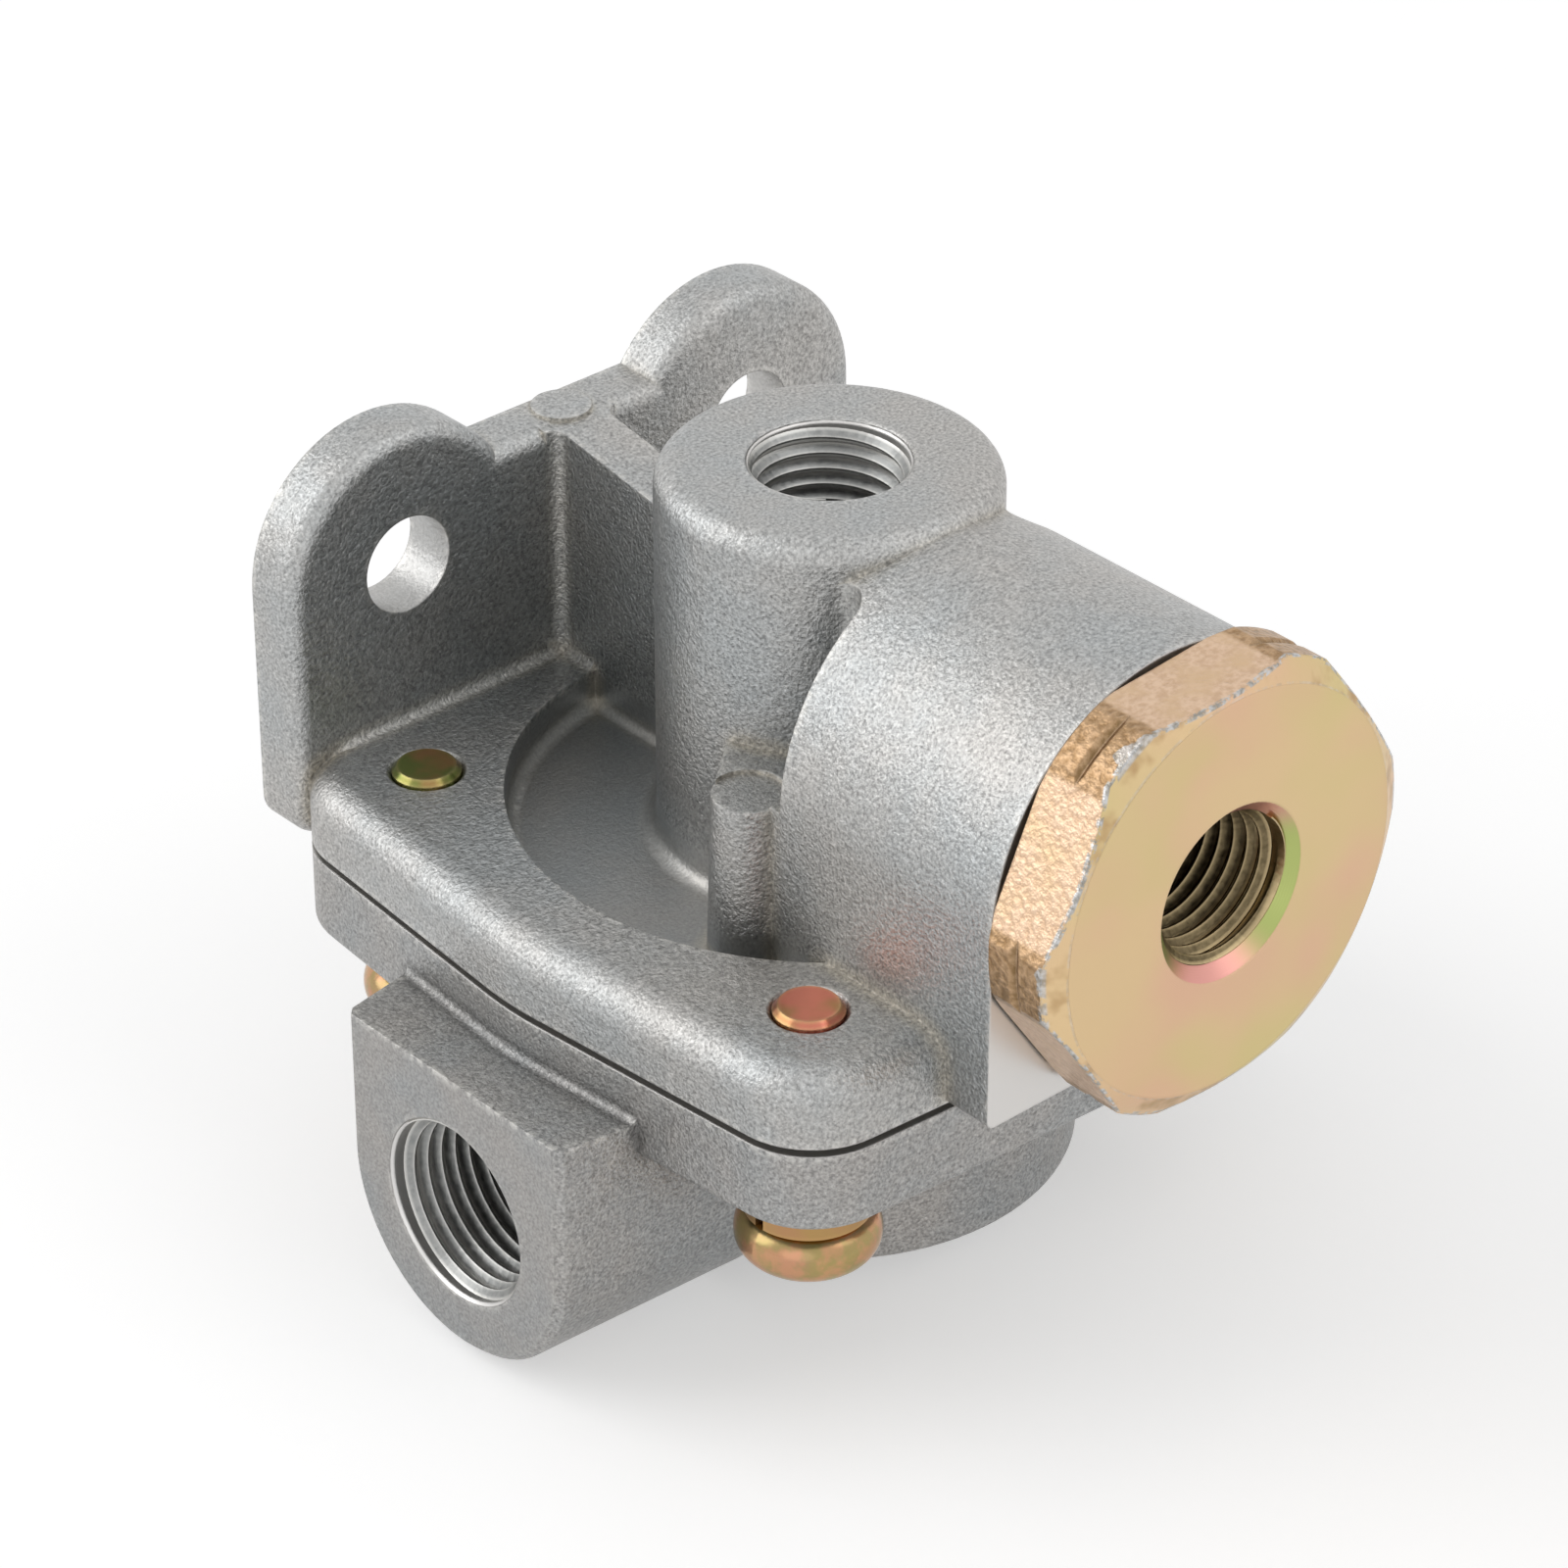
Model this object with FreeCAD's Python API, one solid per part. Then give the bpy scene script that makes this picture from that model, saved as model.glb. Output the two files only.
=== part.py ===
import FreeCAD, Part
import math
import os

from FreeCAD import Vector

# Quick exhaust valve with a double check for the supply air.
# Millimetres. The solids are drawn about the valve's centre line, with the
# joint between body and cover at height 0 and the supply port facing -Y.
# Export moves them so that the origin lies on the mounting face, midway
# between the two mounting holes.

# Mounting plate
hole_spacing = 38.1
mounting_hole_radius = 4.37
ear_radius = 12.4
plate_thickness = 5.15
plate_edge_rounding = 1.6
plate_behind_flange = 3.15
hole_row_above_joint = 21.3
plate_top_above_joint = 28.3
plate_lip_below_joint = 1.5
plate_corner_radius = 3.0
ejector_mark_radius = 2.6
ejector_mark_height = 0.25

# Flange shared by body, gasket and cover
flange_waist_bulge = 1.55
flange_corner_x = 25.2
flange_corner_y = 25.8
flange_corner_radius = 7.45
body_flange_thickness = 6.45
body_flange_rounding = 3.0
flange_rim_width = 7.8
recess_floor_thickness = 2.8
recess_floor_rounding = 1.2
casting_fillet = 0.9
fillet_sink = 0.4
flange_end_turn = 60
lip_clearance = 0.3
joining_depth = 1.0
cutter_overrun = 0.1
selection_margin = 1.0

# Screws that hold the cover
screw_inset_x = 1.5
screw_inset_y = 2.0
screw_radius = 2.95
screw_tip_radius = 2.5
screw_tip_chamfer = 0.5
screw_tip_height = 0.55
screw_head_radius = 6.05
screw_head_height = 4.6
screw_head_rounding = 2.2
screw_head_land = 0.2
screw_recess_width = 1.3
screw_recess_length = 5.6
screw_recess_depth = 2.0
tapped_hole_clearance = 0.05
through_hole_clearance = 0.35
tapped_hole_chamfer = 0.35
lock_washer_outer_radius = 5.3
lock_washer_thickness = 1.6
lock_washer_split = 0.9

# Balance port boss
balance_boss_radius = 14.3
balance_boss_height = 37.2
balance_boss_rounding = 2.2
balance_boss_foot_fillet = 1.5
balance_thread_radius = 6.6
balance_thread_length = 13.0
balance_port_chamfer = 0.35

# Rib between mounting plate and boss
rib_thickness = 5.2
rib_height_at_plate = 28.2
rib_height_at_boss = 25.3
rib_end_fillet = 1.2

# Supply barrel
barrel_radius = 18.3
barrel_axis_height = 17.9
barrel_overhang = 3.75
barrel_rear_offset = 0.1
barrel_edge_radius = 0.8
valley_radius = 2.0
web_bearing_on_boss = 13.0
web_bearing_on_post = 30.0
ejector_post_inset = 0.5
ejector_post_y = 10.1
ejector_post_radius = 3.05
ejector_post_height = 17.6
ejector_post_draft = 1.5

# Double check chamber inside the barrel
cap_thread_radius = 15.0
cap_thread_clearance = 0.05
cap_thread_depth = 14.0
seal_groove_radius = 16.9
seal_groove_depth = 1.85
check_chamber_radius = 11.5
check_chamber_depth = 9.0
check_seat_radius = 6.5
check_guide_thickness = 1.8
check_guide_clearance = 0.3
passage_radius = 4.5
outlet_radius = 2.6
outlet_inset = 0.5
outlet_above_chamber_bottom = 1.0

# Cap nut in the barrel
nut_across_flats = 36.0
nut_corner_radius = 19.5
nut_thickness = 7.25
nut_gap = 0.45
nut_turn = 4.5
nut_face_radius = 17.5
nut_face_chamfer = 1.15
nut_back_radius = 18.7
nut_back_chamfer = 0.45
nut_groove_radius = 19.1
nut_groove_width = 1.1
nut_groove_from_face = 4.1
supply_thread_radius = 6.6
supply_thread_length = 12.0
supply_port_chamfer = 1.13
supply_passage_radius = 4.2
supply_seat_radius = 5.6
supply_seat_height = 1.6

# Soft discs of the double check
ring_thickness = 1.2
ring_inner_radius = 9.4
check_disc_radius = 8.8
check_disc_thickness = 2.6
check_disc_rounding = 0.4
check_travel = 1.25
check_end_clearance = 0.05

# Release diaphragm with its seat and spring
diaphragm_radius = 16.5
diaphragm_thickness = 3.0
diaphragm_rounding = 0.5
diaphragm_lift = 1.2
diaphragm_end_clearance = 0.05
upper_chamber_radius = 13.0
upper_chamber_height = 1.5
spring_pocket_radius = 6.6
spring_pocket_height = 7.5
spring_seat_radius = 8.5
spring_seat_thickness = 1.0
spring_seat_hub_radius = 3.3
spring_seat_hub_height = 2.4
spring_radius = 4.6
spring_wire_radius = 0.55
spring_turns = 4.5
spring_end_clearance = 0.05

# Cover
gasket_thickness = 0.7
gasket_inset = 0.9
gasket_opening_radius = 18.6
cover_flange_bottom = 8.0
cover_flange_rounding = 0.8
screw_pad_radius = 5.9
screw_pad_bottom = 10.6
exhaust_boss_radius = 21.5
exhaust_boss_bottom = 27.5
exhaust_boss_rounding = 0.9
valve_chamber_radius = 18.0
chamber_floor = 23.0
exhaust_tube_radius = 9.5
exhaust_passage_radius = 7.0
chamber_rib_count = 6
chamber_rib_thickness = 2.0
chamber_rib_clearance = 0.3

# Delivery bosses on both sides of the cover
delivery_reach = 6.3
delivery_axis_depth = 17.8
delivery_boss_radius = 13.4
delivery_boss_draft = 2.0
delivery_boss_flare = 9.0
delivery_boss_top = 4.7
delivery_edge_radius = 0.7
delivery_root_fillet = 0.7
delivery_thread_radius = 8.15
delivery_thread_length = 13.0
delivery_port_chamfer = 0.3
delivery_passage_radius = 5.0

# Exhaust outlet below the cover
outlet_recess_radius = 13.5
outlet_recess_depth = 2.3
outlet_hub_radius = 3.5
outlet_hub_height = 5.2
outlet_spoke_count = 3
outlet_spoke_width = 2.4
outlet_spoke_height = 2.8
flap_radius = 12.0
flap_thickness = 1.5
flap_washer_radius = 4.6
flap_washer_thickness = 0.9
flap_screw_radius = 1.95
flap_screw_length = 4.2
flap_screw_head_radius = 3.7
flap_screw_head_height = 2.4
flap_screw_head_rounding = 1.2
flap_hole_clearance = 0.15

UP = Vector(0, 0, 1)
DOWN = Vector(0, 0, -1)
FORWARD = Vector(0, -1, 0)
BACKWARD = Vector(0, 1, 0)

flange_reach = max(flange_corner_x, flange_corner_y) + flange_corner_radius
flange_waist_radius = flange_reach + flange_waist_bulge
recess_radius = flange_waist_radius - flange_rim_width
delivery_face = flange_waist_radius + delivery_reach
barrel_front = flange_waist_radius + barrel_overhang
barrel_rear = balance_boss_radius + barrel_rear_offset
ejector_post_x = barrel_radius - ejector_post_inset
axis_to_mounting_face = flange_corner_y + flange_corner_radius + plate_behind_flange
plate_front = axis_to_mounting_face - plate_thickness
screw_x = flange_corner_x - screw_inset_x
screw_y = flange_corner_y - screw_inset_y
screw_places = [(sx * screw_x, sy * screw_y) for sy in (-1, 1) for sx in (-1, 1)]
diaphragm_top = -(diaphragm_lift + diaphragm_end_clearance)
exhaust_seat_level = diaphragm_top - diaphragm_thickness
check_shoulder = cap_thread_depth - barrel_front
check_chamber_end = check_shoulder + check_chamber_depth
cap_end = check_shoulder - ring_thickness
supply_seat_level = cap_end + supply_seat_height
check_seat_level = supply_seat_level + check_disc_thickness + check_travel + check_end_clearance
outlet_roof = -(exhaust_boss_bottom - outlet_recess_depth)


def point_on_circle(center_x, center_y, radius, angle, level=0.0):
    """Point at an angle in degrees on a level circle."""
    turn = math.radians(angle)
    return Vector(center_x + radius * math.cos(turn), center_y + radius * math.sin(turn), level)


def arc(center_x, center_y, radius, start, end, level=0.0):
    """Level arc from one angle to another, in degrees."""
    middle = (start + end) / 2
    points = [point_on_circle(center_x, center_y, radius, a, level) for a in (start, middle, end)]
    return Part.Arc(*points).toShape()


def rod(radius, start, end):
    """Round bar between two points."""
    axis = end - start
    return Part.makeCylinder(radius, axis.Length, start, axis)


def turned(profile, base, direction):
    """Solid of revolution. The profile lists radius and distance along the axis."""
    points = [Vector(radius, 0, along) for radius, along in profile]
    face = Part.Face(Part.makePolygon(points + points[:1]))
    solid = face.revolve(Vector(0, 0, 0), UP, 360)
    solid.Placement = FreeCAD.Placement(base, FreeCAD.Rotation(UP, direction))
    return solid


def countersink(radius, chamfer, mouth, outward):
    """Cone that breaks the edge of a hole with a 45 degree chamfer."""
    wide = radius + chamfer
    return Part.makeCone(wide, radius, chamfer, mouth, outward * -1)


def box_between(x_range, y_range, z_range):
    """Box from three pairs of limits."""
    low = Vector(x_range[0], y_range[0], z_range[0])
    high = Vector(x_range[1], y_range[1], z_range[1])
    size = high - low
    return Part.makeBox(size.x, size.y, size.z, low)


def fillet_section(start, out, up, radius):
    """Section of a hollow fillet in an inner corner, its back sunk into both walls."""
    bottom = out * fillet_sink * -1
    left = up * fillet_sink * -1
    corners = [
        start + up * radius,
        start + up * radius + bottom,
        start + bottom + left,
        start + out * radius + left,
        start + out * radius,
    ]
    hollow = start + (out + up) * (radius * (1 - math.sqrt(0.5)))
    curve = Part.Arc(corners[-1], hollow, corners[0]).toShape()
    return Part.Face(Part.Wire(Part.makePolygon(corners).Edges + [curve]))


def fillet_strip(start, end, out, up, radius):
    """Straight hollow fillet along an inner corner."""
    return fillet_section(start, out, up, radius).extrude(end - start)


def edges_at(shape, level):
    """Edges that lie in one level plane."""
    return [e for e in shape.Edges
            if abs(e.BoundBox.ZMin - level) < 0.001 and abs(e.BoundBox.ZMax - level) < 0.001]


def flange_face(inset, level):
    """Flange outline: round corners at the screws, blended into a round waist."""
    waist = flange_waist_radius - inset
    corner = flange_corner_radius - inset
    reach = math.hypot(flange_corner_x, flange_corner_y)
    bearing = math.degrees(math.atan2(flange_corner_y, flange_corner_x))
    spread = math.degrees(math.acos((waist - corner) / reach))
    corners = [
        (flange_corner_x, flange_corner_y, bearing),
        (-flange_corner_x, flange_corner_y, 180 - bearing),
        (-flange_corner_x, -flange_corner_y, 180 + bearing),
        (flange_corner_x, -flange_corner_y, 360 - bearing),
    ]
    edges = []
    for index, (x, y, angle) in enumerate(corners):
        following = corners[(index + 1) % 4][2] + (360 if index == 3 else 0)
        leave = angle + spread
        arrive = following - spread
        edges.append(arc(x, y, corner, angle - spread, leave, level))
        edges.append(arc(0, 0, waist, leave, arrive, level))
    outline = []
    for index, edge in enumerate(edges):
        nearest = edges[(index + 1) % len(edges)]
        outline.append(edge)
        end = edge.valueAt(edge.LastParameter)
        start = nearest.valueAt(nearest.FirstParameter)
        outline.append(Part.LineSegment(end, start).toShape())
    return Part.Face(Part.Wire(outline))


def barrel_face(y):
    """Arch section of the supply barrel: a half round on straight legs."""
    radius = barrel_radius
    edge = barrel_edge_radius
    top = Part.Arc(
        Vector(radius, y, barrel_axis_height),
        Vector(0, y, barrel_axis_height + radius),
        Vector(-radius, y, barrel_axis_height),
    ).toShape()
    slant = edge * (1 - math.sqrt(0.5))
    left_corner = Part.Arc(
        Vector(-radius, y, edge),
        Vector(-radius + slant, y, slant),
        Vector(-radius + edge, y, 0),
    ).toShape()
    right_corner = Part.Arc(
        Vector(radius - edge, y, 0),
        Vector(radius - slant, y, slant),
        Vector(radius, y, edge),
    ).toShape()
    left_leg = Part.LineSegment(Vector(-radius, y, barrel_axis_height), Vector(-radius, y, edge)).toShape()
    floor = Part.LineSegment(Vector(-radius + edge, y, 0), Vector(radius - edge, y, 0)).toShape()
    right_leg = Part.LineSegment(Vector(radius, y, edge), Vector(radius, y, barrel_axis_height)).toShape()
    return Part.Face(Part.Wire([top, left_leg, left_corner, floor, right_corner, right_leg]))


def body_flange():
    """Flange with rounded top edges, run straight into the plate, and its round recess."""
    flange = flange_face(0, 0).extrude(UP * body_flange_thickness)
    flange = flange.makeFillet(body_flange_rounding, edges_at(flange, body_flange_thickness))
    half = flange_corner_x + body_flange_rounding
    root = box_between(
        (-half, half), (flange_corner_y, plate_front + joining_depth), (0, body_flange_thickness))
    root_ends = [e for e in edges_at(root, body_flange_thickness) if e.BoundBox.XLength < 0.001]
    root = root.makeFillet(body_flange_rounding, root_ends)
    depth = body_flange_thickness - recess_floor_thickness
    recess = Part.makeCylinder(recess_radius, depth, Vector(0, 0, recess_floor_thickness))
    recess = recess.makeFillet(recess_floor_rounding, edges_at(recess, recess_floor_thickness))
    return flange.fuse(root).cut(recess)


def mounting_plate():
    """Plate with two round ears that carry the mounting holes."""
    y = plate_front
    ear_x = hole_spacing / 2
    side = ear_x + ear_radius
    rise = plate_top_above_joint - hole_row_above_joint
    shoulder = ear_x - math.sqrt(ear_radius ** 2 - rise ** 2)
    bottom = -plate_lip_below_joint
    corner = plate_corner_radius
    crown = hole_row_above_joint + ear_radius
    slant = corner * (1 - math.sqrt(0.5))
    left_ear = Part.Arc(
        Vector(-side, y, hole_row_above_joint),
        Vector(-ear_x, y, crown),
        Vector(-shoulder, y, plate_top_above_joint),
    )
    right_ear = Part.Arc(
        Vector(shoulder, y, plate_top_above_joint),
        Vector(ear_x, y, crown),
        Vector(side, y, hole_row_above_joint),
    )
    right_corner = Part.Arc(
        Vector(side, y, bottom + corner),
        Vector(side - slant, y, bottom + slant),
        Vector(side - corner, y, bottom),
    )
    left_corner = Part.Arc(
        Vector(-side + corner, y, bottom),
        Vector(-side + slant, y, bottom + slant),
        Vector(-side, y, bottom + corner),
    )
    lines = [
        (Vector(-shoulder, y, plate_top_above_joint), Vector(shoulder, y, plate_top_above_joint)),
        (Vector(side, y, hole_row_above_joint), Vector(side, y, bottom + corner)),
        (Vector(side - corner, y, bottom), Vector(-side + corner, y, bottom)),
        (Vector(-side, y, bottom + corner), Vector(-side, y, hole_row_above_joint)),
    ]
    top_line, right_line, bottom_line, left_line = [Part.LineSegment(a, b).toShape() for a, b in lines]
    outline = Part.Wire([
        left_ear.toShape(), top_line, right_ear.toShape(), right_line,
        right_corner.toShape(), bottom_line, left_corner.toShape(), left_line,
    ])
    plate = Part.Face(outline).extrude(BACKWARD * plate_thickness)
    front_edges = [e for e in plate.Edges
                   if abs(e.BoundBox.YMin - y) < 0.001 and abs(e.BoundBox.YMax - y) < 0.001]
    plate = plate.makeFillet(plate_edge_rounding, front_edges)
    mark_base = Vector(0, y + plate_thickness / 2, plate_top_above_joint - joining_depth)
    mark = Part.makeCylinder(ejector_mark_radius, joining_depth + ejector_mark_height, mark_base)
    return plate.fuse(mark)


def rib_half_plan(side):
    """Half outline of the rib: hollow corners where it meets the boss and the plate."""
    half = rib_thickness / 2
    flare = rib_end_fillet
    outer = half + flare
    slant = flare * (1 - math.sqrt(0.5))
    center = Vector(outer, math.sqrt((balance_boss_radius + flare) ** 2 - outer ** 2), 0)
    on_boss = center * (balance_boss_radius / (balance_boss_radius + flare))
    hollow = ((on_boss - center).normalize() + Vector(-1, 0, 0)).normalize()
    hollow = center + hollow * flare
    points = [
        on_boss,
        hollow,
        Vector(half, center.y, 0),
        Vector(half, plate_front - flare, 0),
        Vector(half + slant, plate_front - slant, 0),
        Vector(outer, plate_front, 0),
        Vector(outer, plate_front + plate_thickness / 2, 0),
    ]
    points = [Vector(side * q.x, q.y, 0) for q in points]
    return points[0], points[-1], [
        Part.Arc(points[0], points[1], points[2]).toShape(),
        Part.LineSegment(points[2], points[3]).toShape(),
        Part.Arc(points[3], points[4], points[5]).toShape(),
        Part.LineSegment(points[5], points[6]).toShape(),
    ]


def rib():
    """Web from the mounting plate to the balance boss, its top sloping down to the boss."""
    right_start, right_end, right_edges = rib_half_plan(1)
    left_start, left_end, left_edges = rib_half_plan(-1)
    center = Vector(0, 0, 0)
    closing = [(center, right_start), (right_end, left_end), (left_start, center)]
    closing = [Part.LineSegment(a, b).toShape() for a, b in closing]
    plan = Part.Wire(Part.__sortEdges__(closing + right_edges + left_edges))
    block = Part.Face(plan).extrude(UP * rib_height_at_plate)
    inside_plate = right_end.y + joining_depth
    wide = right_end.x + joining_depth
    points = [
        Vector(-wide, -joining_depth, 0),
        Vector(-wide, inside_plate, 0),
        Vector(-wide, inside_plate, rib_height_at_plate),
        Vector(-wide, plate_front, rib_height_at_plate),
        Vector(-wide, balance_boss_radius, rib_height_at_boss),
        Vector(-wide, -joining_depth, rib_height_at_boss),
    ]
    profile = Part.Face(Part.makePolygon(points + points[:1])).extrude(Vector(2 * wide, 0, 0))
    return block.common(profile)


def balance_boss():
    """Round boss on the recess floor, with a hollow fillet at its foot and a rounded rim."""
    boss = Part.makeCylinder(balance_boss_radius, balance_boss_height)
    boss = boss.makeFillet(balance_boss_rounding, edges_at(boss, balance_boss_height))
    hollow = balance_boss_foot_fillet
    wide = balance_boss_radius + hollow
    level = recess_floor_thickness + hollow
    foot = Part.makeCylinder(wide, level)
    return boss.fuse(foot.cut(Part.makeTorus(wide, hollow, Vector(0, 0, level))))


def plate_foot_fillet():
    """Casting fillet along the foot of the plate, turned down at the flange's rounded ends."""
    left = Vector(-flange_corner_x, plate_front, body_flange_thickness)
    right = Vector(flange_corner_x, plate_front, body_flange_thickness)
    pieces = [fillet_strip(left, right, FORWARD, UP, casting_fillet)]
    for end, axis in ((left, FORWARD), (right, BACKWARD)):
        section = fillet_section(end, FORWARD, UP, casting_fillet)
        pieces.append(section.revolve(end + DOWN * body_flange_rounding, axis, flange_end_turn))
    return pieces


def rib_foot_fillets():
    """Casting fillets along the foot of the rib, on the flange and on the recess floor."""
    top = body_flange_thickness
    radius = casting_fillet
    strips = []
    for side in (-1, 1):
        outward = Vector(side, 0, 0)
        strips.append(fillet_strip(
            Vector(side * rib_thickness / 2, recess_radius, top),
            Vector(side * rib_thickness / 2, plate_front, top), outward, UP, radius))
        strips.append(fillet_strip(
            Vector(side * rib_thickness / 2, balance_boss_radius, recess_floor_thickness),
            Vector(side * rib_thickness / 2, recess_radius, recess_floor_thickness), outward, UP, radius))
    return strips


def barrel_valley():
    """Metal that blends the boss into the barrel's rear face with a hollow radius."""
    drop = barrel_rear - valley_radius
    center_x = math.sqrt((balance_boss_radius + valley_radius) ** 2 - drop ** 2)
    touch = math.degrees(math.atan2(-drop, -center_x))
    on_boss = point_on_circle(0, 0, balance_boss_radius, touch)
    middle = (math.degrees(math.atan2(drop, center_x)) - 90) / 2
    left = Part.Arc(
        on_boss,
        point_on_circle(-center_x, -drop, valley_radius, middle),
        Vector(-center_x, -barrel_rear, 0),
    )
    right = Part.Arc(
        Vector(center_x, -barrel_rear, 0),
        point_on_circle(center_x, -drop, valley_radius, 180 - middle),
        Vector(-on_boss.x, on_boss.y, 0),
    )
    front = [
        Vector(-center_x, -barrel_rear, 0),
        Vector(-center_x, -barrel_rear - joining_depth, 0),
        Vector(center_x, -barrel_rear - joining_depth, 0),
        Vector(center_x, -barrel_rear, 0),
    ]
    rear = [Vector(-on_boss.x, on_boss.y, 0), Vector(0, 0, 0), on_boss]
    plan = Part.Wire([left.toShape()] + Part.makePolygon(front).Edges
                     + [right.toShape()] + Part.makePolygon(rear).Edges)
    column = Part.Face(plan).extrude(UP * balance_boss_height)
    return column.common(barrel_face(-barrel_rear - joining_depth).extrude(BACKWARD * barrel_front))


def barrel_steps():
    """Half-height webs between boss and barrel, each with the post of an ejector pin."""
    low = recess_floor_thickness / 2
    height = ejector_post_height - low
    foot_radius = ejector_post_radius + height * math.tan(math.radians(ejector_post_draft))
    pieces = []
    for side in (-1, 1):
        center_x = side * ejector_post_x
        facing = 90 - side * 90
        on_boss = point_on_circle(0, 0, balance_boss_radius, facing - side * web_bearing_on_boss, low)
        on_post = point_on_circle(
            center_x, -ejector_post_y, ejector_post_radius, facing + side * web_bearing_on_post, low)
        plan = [
            Vector(0, 0, low),
            on_boss,
            on_post,
            Vector(center_x, -ejector_post_y, low),
            Vector(side * barrel_radius, -ejector_post_y, low),
            Vector(side * barrel_radius, -barrel_rear - joining_depth, low),
            Vector(0, -barrel_rear - joining_depth, low),
        ]
        web = Part.Face(Part.makePolygon(plan + plan[:1])).extrude(UP * (barrel_axis_height - low))
        pin_face = Vector(center_x, -ejector_post_y, ejector_post_height)
        above_pin = Vector(center_x, -ejector_post_y, barrel_axis_height + cutter_overrun)
        pieces.append(web.cut(rod(ejector_post_radius, pin_face, above_pin)))
        base = Vector(center_x, -ejector_post_y, low)
        pieces.append(Part.makeCone(foot_radius, ejector_post_radius, height, base))
    return pieces


def supply_barrel():
    """Barrel that takes the cap nut, flush with the joint face below."""
    return barrel_face(-barrel_front).extrude(BACKWARD * (barrel_front - barrel_rear))


def balance_port():
    """Tapped hole from the top, its chamfer, and the passage below it."""
    mouth = Vector(0, 0, balance_boss_height)
    thread_end = mouth + DOWN * balance_thread_length
    passage_end = Vector(0, 0, barrel_axis_height)
    return [
        rod(balance_thread_radius, mouth, thread_end),
        countersink(balance_thread_radius, balance_port_chamfer, mouth, UP),
        rod(passage_radius, thread_end, passage_end),
        Part.makeSphere(passage_radius, passage_end),
    ]


def check_chamber():
    """Bores behind the cap nut: thread, seal groove, chamber and the passage to the boss."""
    front = Vector(0, -barrel_front, barrel_axis_height)
    shoulder = Vector(0, check_shoulder, barrel_axis_height)
    end = Vector(0, check_chamber_end, barrel_axis_height)
    seat = Vector(0, check_seat_level, barrel_axis_height)
    chamber = rod(check_chamber_radius, shoulder, end).cut(rod(check_seat_radius, seat, end))
    inner = check_disc_radius + check_guide_clearance
    for angle in (45, 135, 225, 315):
        guide = box_between(
            (inner, check_chamber_radius + joining_depth),
            (check_shoulder + ring_thickness / 2, check_chamber_end),
            (-check_guide_thickness / 2, check_guide_thickness / 2),
        )
        guide.rotate(Vector(0, 0, 0), BACKWARD, angle)
        guide.translate(Vector(0, 0, barrel_axis_height))
        chamber = chamber.cut(guide)
    low = barrel_axis_height - check_chamber_radius + outlet_above_chamber_bottom
    outlet_start = Vector(0, check_chamber_end - outlet_radius - outlet_inset, low)
    outlet_end = Vector(0, -(upper_chamber_radius - outlet_radius - outlet_inset), -cutter_overrun)
    return [
        rod(cap_thread_radius, front, shoulder),
        rod(seal_groove_radius, front, front + BACKWARD * seal_groove_depth),
        chamber,
        rod(passage_radius, seat, Vector(0, 0, barrel_axis_height)),
        rod(outlet_radius, outlet_start, outlet_end),
    ]


def underside_pockets():
    """Chamber above the release diaphragm and the pocket for its spring."""
    return [
        Part.makeCylinder(upper_chamber_radius, upper_chamber_height),
        Part.makeCylinder(spring_pocket_radius, spring_pocket_height),
    ]


def body_holes():
    """Mounting holes and the tapped holes of the cover screws."""
    holes = []
    for side in (-1, 1):
        start = Vector(side * hole_spacing / 2, plate_front - cutter_overrun, hole_row_above_joint)
        end = start + BACKWARD * (plate_thickness + 2 * cutter_overrun)
        holes.append(rod(mounting_hole_radius, start, end))
    tapped = screw_radius + tapped_hole_clearance
    for x, y in screw_places:
        top = Vector(x, y, body_flange_thickness)
        holes.append(rod(tapped, Vector(x, y, 0), top))
        holes.append(countersink(tapped, tapped_hole_chamfer, top, UP))
    return holes


def valve_body():
    """One-piece casting: flange, mounting plate, rib, balance boss and supply barrel."""
    lumps = [mounting_plate(), rib(), balance_boss(), supply_barrel(), barrel_valley()]
    lumps += barrel_steps() + plate_foot_fillet() + rib_foot_fillets()
    solid = body_flange().multiFuse(lumps).removeSplitter()
    return solid.cut(balance_port() + check_chamber() + underside_pockets() + body_holes())


def in_front_of_lip(shape):
    """Trim a piece so that it clears the lip of the mounting plate."""
    reach = 2 * flange_waist_radius
    back = plate_front - lip_clearance
    return shape.common(box_between((-reach, reach), (-reach, back), (-reach, reach)))


def screw_holes(low, high):
    """Clearance holes of the four cover screws between two levels."""
    radius = screw_radius + through_hole_clearance
    return [rod(radius, Vector(x, y, low), Vector(x, y, high)) for x, y in screw_places]


def cover_gasket():
    """Flat gasket between body and cover."""
    sheet = in_front_of_lip(flange_face(gasket_inset, -gasket_thickness).extrude(UP * gasket_thickness))
    opening = rod(gasket_opening_radius, Vector(0, 0, -gasket_thickness), Vector(0, 0, 0))
    return sheet.cut([opening] + screw_holes(-gasket_thickness, 0))


def delivery_section(half_width, top_half_width, x, top):
    """Section of a delivery boss: flat on top, round below."""
    level = -delivery_axis_depth
    left = Vector(x, -top_half_width, top)
    right = Vector(x, top_half_width, top)
    low_left = Vector(x, -half_width, level)
    low_right = Vector(x, half_width, level)
    bottom = Part.Arc(low_right, Vector(x, 0, level - half_width), low_left)
    return Part.Wire([
        Part.LineSegment(left, right).toShape(),
        Part.LineSegment(right, low_right).toShape(),
        bottom.toShape(),
        Part.LineSegment(low_left, left).toShape(),
    ])


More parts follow.
